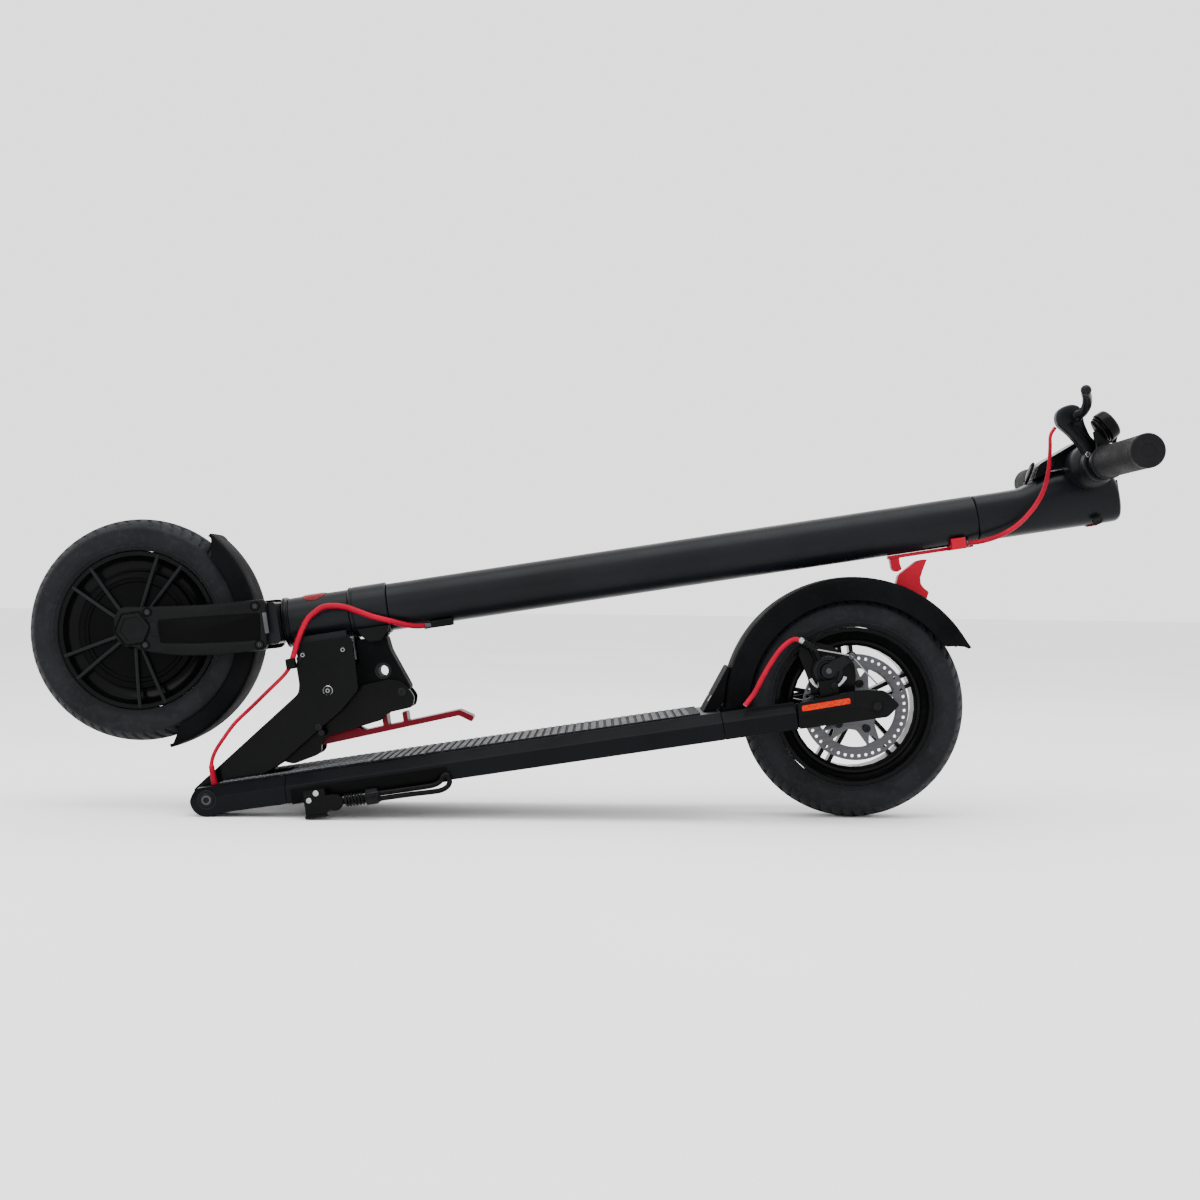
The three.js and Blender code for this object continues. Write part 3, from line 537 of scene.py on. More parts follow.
def plate(loops, y_low, y_high, bevel=0.4):
    """A flat plate with eased edges, from an outline in x and z and the outlines of its holes."""
    curve = bpy.data.curves.new("outline", "CURVE")
    curve.dimensions = "2D"
    curve.fill_mode = "BOTH"
    curve.extrude = max((y_high - y_low) / 2 - bevel, 0.001)
    curve.bevel_depth = bevel
    curve.bevel_resolution = 1
    curve.offset = -bevel
    for loop in loops:
        spline = curve.splines.new("POLY")
        spline.points.add(len(loop) - 1)
        for point, (x, z) in zip(spline.points, loop):
            point.co = (x, z, 0, 1)
        spline.use_cyclic_u = True
    obj = linked("outline", curve)
    evaluated = obj.evaluated_get(bpy.context.evaluated_depsgraph_get())
    mesh = bpy.data.meshes.new_from_object(evaluated)
    middle = (y_low + y_high) / 2
    points = [(v.co.x, middle - v.co.z, v.co.y) for v in mesh.vertices]
    faces = [tuple(p.vertices) for p in mesh.polygons]
    bpy.data.objects.remove(obj)
    bpy.data.curves.remove(curve)
    bpy.data.meshes.remove(mesh)
    return points, faces


def eased(corners, reach, steps=4):
    """An outline whose corners are rounded by curves that start `reach` from each corner."""
    loop = []
    count = len(corners)
    for i, corner in enumerate(corners):
        p = Vector(corner)
        before, after = Vector(corners[i - 1]) - p, Vector(corners[(i + 1) % count]) - p
        r = min(reach, before.length / 2.2, after.length / 2.2)
        a, b = p + before.normalized() * r, p + after.normalized() * r
        for k in range(steps + 1):
            t = k / steps
            loop.append(tuple(a * (1 - t) ** 2 + p * 2 * t * (1 - t) + b * t * t))
    return loop


def polar(radius, angle, x=0.0, z=0.0):
    return x + radius * math.cos(angle), z + radius * math.sin(angle)


def circle(count):
    """Equal steps of angle round a full circle."""
    return [TAU * k / count for k in range(count)]


def ring(radius, x=0.0, z=0.0, count=48):
    return [polar(radius, a, x, z) for a in circle(count)]


def box(x0, x1, y0, y1, z0, z1, bevel=0.6, segments=2):
    """A block with rounded edges."""
    bm = bmesh.new()
    bmesh.ops.create_cube(bm, size=1)
    spans = ((x0, x1), (y0, y1), (z0, z1))
    for v in bm.verts:
        v.co = Vector([(low + high) / 2 + c * (high - low) for c, (low, high) in zip(v.co, spans)])
    bmesh.ops.bevel(
        bm, geom=bm.edges[:], offset=bevel, segments=segments, profile=0.5, affect="EDGES"
    )
    bm.verts.index_update()
    shape = ([tuple(v.co) for v in bm.verts], [tuple(v.index for v in f.verts) for f in bm.faces])
    bm.free()
    return shape


def spline(points, per_span=8):
    """A smooth open curve through the points, as a dense list."""
    pts = [Vector(p) for p in points]
    pts = [pts[0] * 2 - pts[1], *pts, pts[-1] * 2 - pts[-2]]
    dense = []
    for i in range(1, len(pts) - 2):
        a, b, c, d = pts[i - 1 : i + 3]
        for k in range(per_span):
            t = k / per_span
            square, cube = 2 * a - 5 * b + 4 * c - d, 3 * b - a - 3 * c + d
            dense.append(0.5 * (2 * b + (c - a) * t + square * t**2 + cube * t**3))
    dense.append(pts[-2])
    return dense


def sweep(path, radius, sides=16, flat=1.0, up=(0, 1, 0)):
    """A closed tube along a path. radius is a number or radius(t); flat squeezes it along up."""
    path = [Vector(p) for p in path]
    count = len(path)
    width = radius if callable(radius) else (lambda t: radius)
    points = []
    side = None
    for i, p in enumerate(path):
        along = (path[min(i + 1, count - 1)] - path[max(i - 1, 0)]).normalized()
        guess = side if side is not None else Vector(up)
        side = (guess - along * guess.dot(along)).normalized()
        other = along.cross(side)
        r = width(i / (count - 1))
        for a in circle(sides):
            points.append(tuple(p + side * (r * flat * math.cos(a)) + other * (r * math.sin(a))))
    return points, skin(count, sides, caps=True)


def screw(radius, height, hexagon=0.5, sides=24):
    """A cap screw's head about the y axis, from y 0 to its height, with a hexagon socket."""
    socket, depth, sector = radius * hexagon, height * 0.45, TAU / 6

    def radius_at(r, y, angle):
        if r != socket:
            return r
        return socket * math.cos(sector / 2) / math.cos((angle % sector) - sector / 2)

    profile = [(0.001, depth), (socket, depth), (socket, height), (radius * 0.9, height)]
    profile += [(radius, height * 0.86), (radius, 0), (0.001, 0)]
    return lathe(profile, sides, radius_at)


def socket_glint_rims(places, radius):
    """Thin bright rims round screws' sockets, which paint glints on the screws."""
    return merged(*[washer(radius, radius * 1.5, 0.2, at, 24) for at in places])


def screws(places, radius, height, axis=LEFT):
    """Cap screws that stand out along the axis."""
    return merged(*[turned_to(screw(radius, height), at, axis) for at in places])


# ---------- CAD nodes that stay, with eased edges and better finishes ----------


CREASE = math.radians(32)


def smooth_by_angle():
    """A modifier group that shades smooth apart from edges sharper than a crease."""
    group = bpy.data.node_groups.new("smooth_by_angle", "GeometryNodeTree")
    for way in ("INPUT", "OUTPUT"):
        group.interface.new_socket("Geometry", in_out=way, socket_type="NodeSocketGeometry")
    make = group.nodes.new
    source, result = make("NodeGroupInput"), make("NodeGroupOutput")
    faces, edges = make("GeometryNodeSetShadeSmooth"), make("GeometryNodeSetShadeSmooth")
    edges.domain = "EDGE"
    edges.inputs["Shade Smooth"].default_value = False
    angle, test = make("GeometryNodeInputMeshEdgeAngle"), make("FunctionNodeCompare")
    test.operation = "GREATER_THAN"
    test.inputs["B"].default_value = CREASE
    link = group.links.new
    link(source.outputs[0], faces.inputs["Geometry"])
    link(faces.outputs[0], edges.inputs["Geometry"])
    link(angle.outputs["Unsigned Angle"], test.inputs["A"])
    link(test.outputs["Result"], edges.inputs["Selection"])
    link(edges.outputs[0], result.inputs[0])
    return group


SMOOTHER = smooth_by_angle()


def modifier(obj, name, kind, **settings):
    made = obj.modifiers.new(name, kind)
    for key, value in settings.items():
        setattr(made, key, value)


def refine(name, material, bevel, segments):
    """Welds a CAD node, merges its flat faces and eases its edges, all in modifiers."""
    node = frame["nodes"][name]
    node.data.materials.clear()
    node.data.materials.append(material)
    for polygon in node.data.polygons:
        polygon.material_index = 0
    modifier(node, "weld", "WELD", merge_threshold=2e-6)
    modifier(node, "flat", "DECIMATE", decimate_type="DISSOLVE", angle_limit=math.radians(0.4))
    modifier(
        node, "ease", "BEVEL", width=bevel * MM, segments=segments,
        limit_method="ANGLE", angle_limit=CREASE, use_clamp_overlap=True,
    )
    modifier(node, "smooth", "NODES", node_group=SMOOTHER)
    modifier(node, "weighted", "WEIGHTED_NORMAL", keep_sharp=True)


KEPT = {
    SHADED_DECK_PAINT: "deck_frame hinge_arm_left hinge_arm_right rear_arm_left rear_arm_right"
    " arm_cover_left arm_cover_right",
    SATIN: "head_tube fork handlebar",
    GLOSS: "kickstand_bracket brake_caliper hinge_plate_left hinge_plate_right latch_bracket"
    " front_housing throttle_housing throttle_lever bell_lever rear_rim",
    FENDER: "fender_brace latch_housing",
    MATTE: "deck_bottom_cover fork_cover_left fork_cover_right",
    RED: "fender_hook stem_hook",
    DARK_RED: "latch_lever",
    STEEL: "rear_axle front_axle",
    DARK_STEEL: "caliper_arm hinge_pin latch_pin",
    ORANGE: "reflector_left reflector_right",
    RED_LENS: "mode_button",
    WRAP: "battery_pack",
    CASE: "controller_box",
}
FINE_EDGES = {"reflector_left", "reflector_right", "mode_button", "caliper_arm", "bell_lever"}
SOFT_EDGES = {"front_housing": 2.5}


def keep_cad_nodes():
    for material, names in KEPT.items():
        for name in names.split():
            bevel = 0.3 if name in FINE_EDGES else SOFT_EDGES.get(name, 0.8)
            refine(name, material, bevel, 5 if name in SOFT_EDGES else 2)


# ---------- wheels ----------

TREAD_PITCHES, TREAD_STEPS = 60, 8
TREAD_FROM = 99
TYRE_RADIUS, CROWN_HALF, CROWN_DROP = 107.99, 23, 7.6
DISC_PHASE = 0.01
BARREL = [(61.5, -17.2), (64, -17.2), (66, -15), (66, 15), (64, 17.2), (61.5, 17.2), (61.5, -17.2)]


def tread_radius(radius, y, angle):
    """Cuts the tread: slanted notches in the shoulders, side grooves and a zigzag in the middle."""
    if radius < TREAD_FROM:
        return radius
    turn, across = angle / TAU * TREAD_PITCHES, abs(y)
    zigzag = 3.2 * (abs((turn % 2.0) - 1.0) * 2 - 1)
    if 6.4 < across < 8.2:
        return radius - 1.2
    if abs(y - zigzag) < 1.1:
        return radius - 1.5
    if 10 < across < 24 and (turn + across * 0.035) % 1.0 < 0.26:
        return radius - 1.7
    return radius


def symmetric(half, middle=()):
    """A closed profile from its half at negative y, with a stretch across its middle."""
    return [*half, *middle, *[(radius, -y) for radius, y in reversed(half)], half[0]]


def tyre_profile():
    side = [
        (77.0, -19.0), (78.6, -21.2), (80.4, -22.4), (81.2, -23.6), (82.4, -23.6), (83.2, -24.4),
        (86, -25.2), (90, -25.85), (93, -26), (96, -25.5), (97.4, -25.6), (98.4, -25.0),
        (99.6, -24.0),
    ]
    ys = [-CROWN_HALF + 2 * CROWN_HALF * k / 30 for k in range(31)]
    crown = [(TYRE_RADIUS - CROWN_DROP * abs(y / CROWN_HALF) ** 2.3, y) for y in ys]
    return symmetric(side, crown)


def wheel_rim_profile():
    """The rim barrel with its two lips, a well on each side and a closed section."""
    return symmetric([
        (59, -12), (64, -12.6), (68, -14.6), (70.5, -17.2), (72.2, -20.4), (76.0, -20.8),
        (76.7, -20.2), (76.7, -17.5), (75.2, -16.5), (75.2, -12),
    ])


def radial_ribs(pairs, spread, inner, outer, phase):
    """Pairs of slim ribs from the hub to the rim, on both faces of a wheel."""
    path = [(inner, -27.2, 0), ((inner + outer) / 2, -24.6, 0), (outer, -18.8, 0)]
    bar = sweep(spline(path, 6), 2.1, 8, 1.15)
    angles = [phase + a + offset for a in circle(pairs) for offset in (-spread, spread)]
    return both(*[moved(bar, Matrix.Rotation(-angle, 4, "Y")) for angle in angles])


def tyres():
    shape = lathe(tyre_profile(), TREAD_PITCHES * TREAD_STEPS, tread_radius)
    for end in ("front", "rear"):
        piece(f"tyre_{end}", shape, TYRE, f"{end}_wheel", f"{end}_tyre", sharp=40)


def front_hub():
    """The hub motor: its drum and covers, the rim round it and the ribs between."""
    cover = [
        (6.4, -32), (11.2, -32), (12, -31.2), (13.2, -27), (15, -26.4), (18, -26.2), (19, -24.6),
        (46, -22.2), (47, -23), (50, -23), (51, -21.8), (54.5, -21.2), (56.4, -20), (57.2, -17),
        (57.6, -12.4), (60.5, -12.0), (61.5, -9),
    ]
    drum = lathe(symmetric(cover))
    piece("hub_motor_body", drum, DEEP, "front_wheel", "hub_motor", "gloss_black")
    piece("hub_motor_rim", lathe(wheel_rim_profile(), 128), GLOSS, "front_wheel")
    ribs = radial_ribs(5, math.radians(9.6), 15, 75, math.radians(66) - STEM_PITCH)
    piece("hub_motor_ribs", ribs, SATIN, "front_wheel", slot="gloss_black")


def rear_hub():
    """The rear rim's inner barrel and the disc's bolts."""
    piece("rear_rim_barrel", lathe(BARREL, 128), GLOSS, "rear_wheel")
    places = [(x, -29, z) for x, z in (polar(23, a + DISC_PHASE) for a in circle(5))]
    piece("disc_bolts", screws(places, 3.9, 2.6), DARK_STEEL, "rear_wheel", slot="")


def disc():
    """The brake disc: an outer ring drilled with holes, five windows and slots in the arms."""
    holes = 44
    inner, inner_turn, outer, outer_turn = 22.5, 0.20, 38.4, 0.46
    loops = [ring(51.2, count=144), ring(9.2)]
    for spoke in circle(5):
        arm = DISC_PHASE + spoke
        middle = arm + TAU / 10
        outline = [polar(outer, middle + outer_turn * (1 - 2 * t / 8)) for t in range(9)]
        outline += [polar(inner, middle - inner_turn), polar(inner, middle + inner_turn)]
        loops.append(eased(outline, 2.5, 3))
        slot = [(37.4, -0.12), (37.4, 0.12), (29, 0.0)]
        loops.append(eased([polar(r, arm + turn) for r, turn in slot], 1.6, 3))
    loops += [ring(1.5, *polar(47, a + TAU / holes / 2), 12) for a in circle(holes)]
    shape = plate(loops, -29, -27, 0.15)
    piece("brake_disc_drilled", shape, DISC, "rear_wheel", "brake_disc")


# ---------- cables ----------

REAR_CABLE = [
    (513.5, -64, 14.2), (517, -63, 17.5), (524.6, -61, 25), (532.4, -59, 35.5), (542.5, -56, 48),
    (553.5, -52, 59.5), (563.5, -49.5, 66.5), (571, -48.2, 68.6), (577.3, -48, 65.8),
]
FOLD_CABLE = [
    (91, -37.5, 113.5), (82, -38.5, 104.3), (65.7, -40, 92.2), (49.5, -42, 80.1), (31.1, -44, 66.7),
    (18.6, -45, 54.1), (8.7, -45.5, 42.5), (3.9, -46, 32.6), (3.2, -46, 23), (3.6, -46, 11.6),
]
LOOP_CABLE = [
    (276, -15, -23), (266, -18, -22), (255.3, -22, -18.6), (241.1, -26, -12.5),
    (226.5, -28.5, -6.2), (213, -29.5, 1.1), (203, -30, 6.1), (192.8, -30, 8.9), (182.1, -30, 9.3),
    (173.8, -30.5, 5.6), (166.1, -32, 0), (159.9, -34.5, -8.8), (154.5, -36.5, -18.7),
    (150.1, -37.3, -28.7), (145.5, -37.5, -39),
]
UPPER_CABLE = [
    (894.9, -66, 73.2), (889.5, -65, 66), (888, -62, 54), (885.6, -56, 36), (880.5, -47, 17.5),
    (870.5, -39, 2), (854.4, -32, -12), (836, -26.5, -20), (819, -20.5, -22.8), (806, -15.5, -22.2),
]


def ramp(t, start, rate):
    return min(1.0, max(0.0, (t - start) * rate))


def fold_cable_radius(t):
    """A thin cable that ends in a thicker boot at the deck."""
    return 1.85 + 0.85 * ramp(t, 0.79, 30)


def upper_cable_radius(t):
    """A cable that thickens into its sleeve below the perch."""
    return 1.65 + 0.6 * ramp(t, 0.15, 3)


def cables():
    """The red brake cable's four stretches."""
    piece("rear_cable_sheath", sweep(spline(REAR_CABLE), 2.4), SHEATH, "deck", "rear_brake_cable")
    upper = sweep(spline(UPPER_CABLE), upper_cable_radius)
    piece("upper_cable_sheath", upper, SHEATH, "steering", "upper_brake_cable")
    loop, ends = sweep(spline(LOOP_CABLE), 2.7), ((150, -37, -30), (266, -18, -22))
    bridge("loop_cable_sheath", loop, STEM, SHEATH, "loop_cable")
    fold, ends = sweep(spline(FOLD_CABLE), fold_cable_radius), ((3.6, -46, 12), (91, -37.5, 113.5))
    bridge("fold_cable_sheath", fold, DECK, SHEATH, "fold_cable")


# ---------- stem and fenders ----------


def stem_tube():
    """The stem's outer tube, with eased ends."""
    shape = along_stem([
        (20.5, 242), (22.2, 242), (23, 242.9), (23, 819.1), (22.2, 820), (20.5, 820),
    ])
    piece("stem_tube_smooth", shape, SATIN, "steering", "stem_tube")


SHOULDER = 5.0
LEAST_DROP = 3.6


def arch_section(drop, outer, half, wall):
    """Half of a fender's section: crown, rounded shoulder, side, and back along the inside."""
    size = min(1.0, drop / (SHOULDER + wall + 0.4))
    curve, depth, low = SHOULDER * size, wall * size, outer - drop
    section = [(outer - size * y * y, half * y) for y in (0.0, 0.45, 0.8)]
    for k in range(5):
        fall, reach = polar(curve, math.pi / 2 * k / 4)
        section.append((outer - 0.9 * size - curve + fall, half - curve + reach))
    return section + [
        (outer - drop * 0.85, half),
        (low + 0.3 * size, half),
        (low, half - 0.4 * size),
        (low, half - depth + 0.4 * size),
        (low + 0.3 * size, half - depth),
        (outer - depth - 2.5 * size, half - depth),
        (outer - depth - size, half - depth - 1.6),
        (outer - depth - 0.4 * size, 0.0),
    ]


def arch(name, centre, body, node, outer, half, wall, start, end, skirt_start, skirt_end, skirt):
    """A fender: a crowned roof with rounded shoulders and skirts that slope off at its ends."""
    steps = 72
    points = []
    for i in range(steps + 1):
        degrees = start + (end - start) * i / steps
        lead = min((degrees - start) / (skirt_start - start), (end - degrees) / (end - skirt_end))
        drop = max((outer - skirt) * max(0.0, min(1.0, lead)), LEAST_DROP)
        section = arch_section(drop, outer, half, wall)
        whole = section + [(r, -y) for r, y in section[-2:0:-1]]
        for r, y in whole:
            x, z = polar(r, math.radians(degrees), *centre)
            points.append((x, y, z))
    count, rows = len(whole), len(section)
    faces = skin(steps + 1, count)
    # Triangles close each end between the outer and inner skins, on both sides of the middle.
    split = rows // 2 + 2
    for base in (0, steps * count):
        upper, lower = range(split), range(rows - 1, split - 1, -1)
        for side in (1, -1):
            turn = [[base + (side * k) % count for k in way] for way in (upper, lower)]
            if side < 0:
                turn[1][0] = base + rows - 1
            faces += stitched(*turn)
    piece(name, (points, faces), FENDER, body, node, sharp=40)


def stitched(a, b):
    """Faces between two open rows of points that start side by side."""
    faces = []
    i = j = 0
    while i < len(a) - 1 or j < len(b) - 1:
        if j >= len(b) - 1 or (i < len(a) - 1 and (i + 1) / len(a) <= (j + 1) / len(b)):
            faces.append((a[i], a[i + 1], b[j]))
            i += 1
        else:
            faces.append((a[i], b[j + 1], b[j]))
            j += 1
    return faces


def fenders():
    rear = (125.8, 32, 3, 19, 172.4, 26, 172, 102.8)
    arch("fender_rear", REAR_HUB_IN_DECK, "deck", "rear_fender", *rear)
    front = (118.4, 31.5, 2.5, -81.5, 43.5, -73, 35, 100.4)
    arch("fender_front", FRONT_HUB_IN_STEM, "steering", "front_fender", *front)


# ---------- deck ----------

MAT_TOP, MAT_BASE, MAT_LOW = 13.3, 12.1, 11.3
MAT_FRONT, MAT_BACK, MAT_HALF = 8.0, 471.0, 55.0
MAT_EDGE, MAT_EDGE_DROP = 2, 0.6
SLOT_BACK, SLOT_HALF = 74.3, 35.6
LINE_X, LINE_Y, RAMP = 1.17, 1.25, 0.35
CHEVRONS_TO = 150.0
RIB_PITCH, RIB_LENGTH = 7.45, 4.9
BAR_ROW, BAR_PITCH, BAR_LENGTH = 8.75, 7.02, 3.9
KICK_Y, KICK_Z = -79.5, -18.5
KICK_RODS = (
    [
        (161, -21.4), (190, -21.6), (212, -22.2), (220, -21.9), (226, -19.6), (229, -15.5),
        (228.2, -10.8),
    ],
    [(161, -16.4), (190, -16.6), (208, -16.6), (215, -15.9), (220, -13.9), (222.6, -10.8)],
    [(222.4, -11.2), (223.4, -9.2), (225.6, -8.5), (227.8, -9.2), (228.4, -11.2)],
)


def mat_lines():
    """The mat's grid lines along x, dense where its pattern changes, and along y."""
    xs = [MAT_FRONT + LINE_X * k for k in range(int((CHEVRONS_TO - MAT_FRONT) / LINE_X) + 1)]
    x = CHEVRONS_TO
    while x < MAT_BACK - MAT_EDGE - RIB_PITCH:
        xs += [x, x + RAMP, x + RIB_LENGTH, x + RIB_LENGTH + RAMP]
        x += RIB_PITCH
    xs += [x, MAT_BACK - MAT_EDGE, MAT_BACK]
    ys = [-MAT_HALF + LINE_Y * k for k in range(int(2 * MAT_HALF / LINE_Y) + 1)]
    return sorted(set(round(v, 3) for v in xs)), ys


def mat_height(x, y):
    """The mat's surface: a lower edge, slanted bars in front and ribs behind them."""
    if abs(y) > MAT_HALF - MAT_EDGE or x < MAT_FRONT + MAT_EDGE or x > MAT_BACK - 1.5:
        return MAT_TOP - MAT_EDGE_DROP
    if x < CHEVRONS_TO:
        lean = 1 if int((y + MAT_HALF) // BAR_ROW) % 2 else -1
        phase = (x + lean * ((y + MAT_HALF) % BAR_ROW)) % BAR_PITCH
        return MAT_TOP if phase < BAR_LENGTH else MAT_BASE
    phase = (x - CHEVRONS_TO) % RIB_PITCH
    return MAT_TOP if 0.3 < phase < RIB_LENGTH + 0.1 else MAT_BASE


def tread_mat():
    """The rubber mat: rows of slanted bars in front, then ribs across the deck."""
    xs, ys = mat_lines()
    bm = bmesh.new()
    grid = [[bm.verts.new((x * MM, y * MM, mat_height(x, y) * MM)) for y in ys] for x in xs]
    for i in range(len(xs) - 1):
        for j in range(len(ys) - 1):
            if xs[i] < SLOT_BACK and -SLOT_HALF < (ys[j] + ys[j + 1]) / 2 < SLOT_HALF:
                continue
            corners = (grid[i][j], grid[i + 1][j], grid[i + 1][j + 1], grid[i][j + 1])
            face = bm.faces.new(corners)
            # Raised faces get the lighter tops material, a painted highlight.
            raised = sum(v.co.z for v in corners) / 4 > (MAT_TOP - 0.4) * MM
            face.material_index = int(raised)
    bmesh.ops.delete(bm, geom=[v for v in bm.verts if not v.link_faces], context="VERTS")
    rim = [e for e in bm.edges if e.is_boundary]
    made = bmesh.ops.extrude_edge_only(bm, edges=rim)["geom"]
    low = [v for v in made if isinstance(v, bmesh.types.BMVert)]
    for v in low:
        v.co.z = MAT_LOW * MM
    bmesh.ops.edgeloop_fill(bm, edges=[e for e in bm.edges if e.is_boundary])
    bmesh.ops.recalc_face_normals(bm, faces=bm.faces)
    mat = piece("tread_mat", bm, MAT, "deck", "deck_mat", sharp=28)
    # The second material paints a highlight on the raised tops.
    mat.data.materials.append(MAT_LIT_TOPS)


def deck_details():
    """The deck's side strips of painted shade, pivot bolts, arm covers, brace screws and kickstand
    block.
    """
    # Dark strips on the deck's sides above the kickstand: painted shade.
    piece("deck_side_shade_strips", both(box(79, 227, -72.7, -68, -15.6, -1.5, 0.35)), DEEP, "deck")
    nose = turned_to(screw(6.6, 1.9, 0.42, 36), (0, -71.7, 0), LEFT)
    collar = washer(7.4, 9.2, 0.5, (0, -71.8, 0), 48)
    piece("fold_pivot_bolts", both(nose, collar), DARK_STEEL, "deck")
    # Bright rims round the pivot bolts' sockets: painted glints.
    piece("pivot_socket_rims", both(socket_glint_rims([(0, -73.6, 0)], 2.9)), GREY_STEEL, "deck")
    hole = (635.5, -74.7, -3.6)
    facet = [(615, 0.5), (616.5, 12.6), (629, 12), (644, 9), (648, 2.5), (628, -6)]
    slope = [(562, -13.6), (562, -3.4), (611, -1.2), (629, -7.5), (640, -14.4)]
    cover = both(
        washer(4.6, 6.2, 0.5, hole, top=6.0),
        plate([eased(facet, 1.2)], -74.8, -73.9, 0.35),
        plate([eased(slope, 2)], -74.5, -73.9, 0.25),
    )
    piece("arm_cover_facets", cover, GLOSS, "deck")
    piece("arm_cover_screws", both(screws([hole], 4.0, 1.3)), DARK_STEEL, "deck")
    brace = screws([(485, -20, 22), (485, 20, 22)], 3.4, 2.0, (-0.75, 0, 0.66))
    piece("brace_screws", brace, STEEL, "deck")
    bolts = merged(screws([(104.8, -86, -7.4)], 2.7, 1.6), screws([(97.5, -86, -13.2)], 2.5, 1.6))
    piece("kickstand_bolts", bolts, SILVER, "deck")
    block = merged(
        box(92.6, 112.4, -86.3, -74.2, -28.4, -8, 0.8),
        box(91.8, 113.2, -87.4, -74.2, -30, -27.6, 0.4),
    )
    piece("kickstand_block", block, GLOSS, "deck")


def kick_spring():
    """The kickstand's coil spring, six turns round the neck."""
    turns, steps = 6, 26
    path = []
    for k in range(turns * steps + 1):
        t = k / (turns * steps)
        path.append((129.6 + 18.4 * t, *polar(5.35, TAU * turns * t, KICK_Y, KICK_Z)))
    piece("kick_spring_coil", sweep(path, 1.05, 10), DARK_STEEL, "kickstand", "kickstand_spring")


def kick_collar():
    """The knurled collar behind the spring."""
    profile = [(4.1, 0), (6.6, 0), (7.3, 0.7), (7.3, 10.6), (6.6, 11.3), (4.1, 11.3)]
    shape = turned(profile, 100, (149.6, KICK_Y, KICK_Z), REARWARD, notched(20, 0.55, 7))
    piece("kick_collar_knurled", shape, DARK_STEEL, "kickstand")


def kick_leg():
    """The kickstand's leg: its knuckle and neck, and two rods bent up into a hooked foot."""
    knuckle = plate([ring(6.8, 121, KICK_Z)], -82.9, -76, 0.8)
    neck = lathe([(0.01, 0), (3.4, 0), (3.4, 38), (0.01, 38)], 36)
    flange = lathe([(0.01, 0), (6.0, 0), (6.0, 1.6), (5.2, 2.4), (0.01, 2.4)], 36)
    rods = []
    for path in KICK_RODS:
        rods.append(sweep(spline([(x, KICK_Y, z) for x, z in path]), 2.45, 14))
    shape = merged(
        knuckle,
        turned_to(neck, (125, KICK_Y, KICK_Z), REARWARD),
        turned_to(flange, (160.6, KICK_Y, KICK_Z), REARWARD),
        *rods,
    )
    piece("kick_leg_rods", shape, GLOSS, "kickstand", "kickstand_leg")


# ---------- folding bracket ----------


def bracket_details():
    """Bolts, the ringed pivot, lock holes and lever web of the fold bracket, and a cable clamp."""
    pivot, upper = (121.3, -33, 84.1), ((102.5, 121.4), (141.3, 120.9))
    band = [(3.9, 0), (4.7, 0), (4.7, 0.7), (4.3, 1.0), (3.9, 0.7)]
    piece("bracket_ring", both(turned(band, 40, pivot)), SILVER, "front_frame")
    # Bright rims round the bracket's screw sockets: painted glints.
    wear_and_glints = socket_glint_rims([(x, -34.8, z) for x, z in upper] + [(121.3, -34.6, 84.1)], 1.3)
    piece("bracket_socket_rims", both(wear_and_glints), STEEL, "front_frame")
    web = plate([[(108, 37.5), (112.5, 40.2), (141, 44.5), (148, 40.5), (140, 36)]], -12.8, 12.8)
    piece("lever_web", web, DARK_RED, "release_lever")
    dark = both(
        screws([(x, -33, z) for x, z in upper], 3.3, 1.8),
        screws([pivot], 3.5, 1.6),
        screws([(107.5, -33, 50.5)], 3.4, 1.6),
        screws([(190, -17.6, 72)], 4.2, 1.8),
    )
    piece("bracket_screws", dark, DARK_STEEL, "front_frame")
    holes = both(washer(5.4, 8.0, 0.6, (174.2, -13.5, 94.9)))
    piece("lock_hole_rims", holes, SATIN, "front_frame")
    clamp = box(140.5, 149.5, -43, -33.3, -45, -35, 1.2, 3)
    piece("cable_clamp", clamp, GLOSS, "front_frame", place=STEM)
    clamp_screw = screws([(152.6, -33, -36.5)], 2.6, 2.0)
    piece("cable_clamp_screw", clamp_screw, DARK_STEEL, "front_frame", place=STEM)


def stop_cheeks():
    """The cheeks at the sides of the head tube, drawn in towards their lower edges."""
    angles = [math.radians(33.5 + 16.5 * k / 8) for k in range(9)]
    cheek = [(25.3 * math.sin(a), -25.3 * math.cos(a)) for a in angles]
    cheek += [
        (20.6, -17), (20.6, -20.5), (20.6, -24), (20.6, -27), (20.4, -29.4), (19.4, -31),
        (13.95, -31),
    ]
    rows = (210, 211, 240, 241)
    points = []
    for row in rows:
        for y, z in cheek:
            lean = 10.5 * max(0.0, (-17 - z) / 14) ** 1.7
            points.append((row - lean if row > 225 else row + lean, y, z))
    shape = both((points, skin(len(rows), len(cheek), caps=True)))
    piece("stop_cheeks", shape, MATTE, "front_frame", place=STEM)


def badge():
    """A plain round badge that lies on the head tube."""
    rings, around = 6, 40
    points = []
    for i in range(rings):
        u = i / (rings - 1)
        for t in circle(around):
            angle = math.radians(40) * u * math.sin(t)
            r = 24.1 - 1.0 * u**6
            points.append((171 + 12.5 * u * math.cos(t), r * math.sin(angle), r * math.cos(angle)))
    piece("front_reflector", (points, skin(rings, around)), RED_LENS, "front_frame", place=STEM)


# ---------- fork and stem ----------

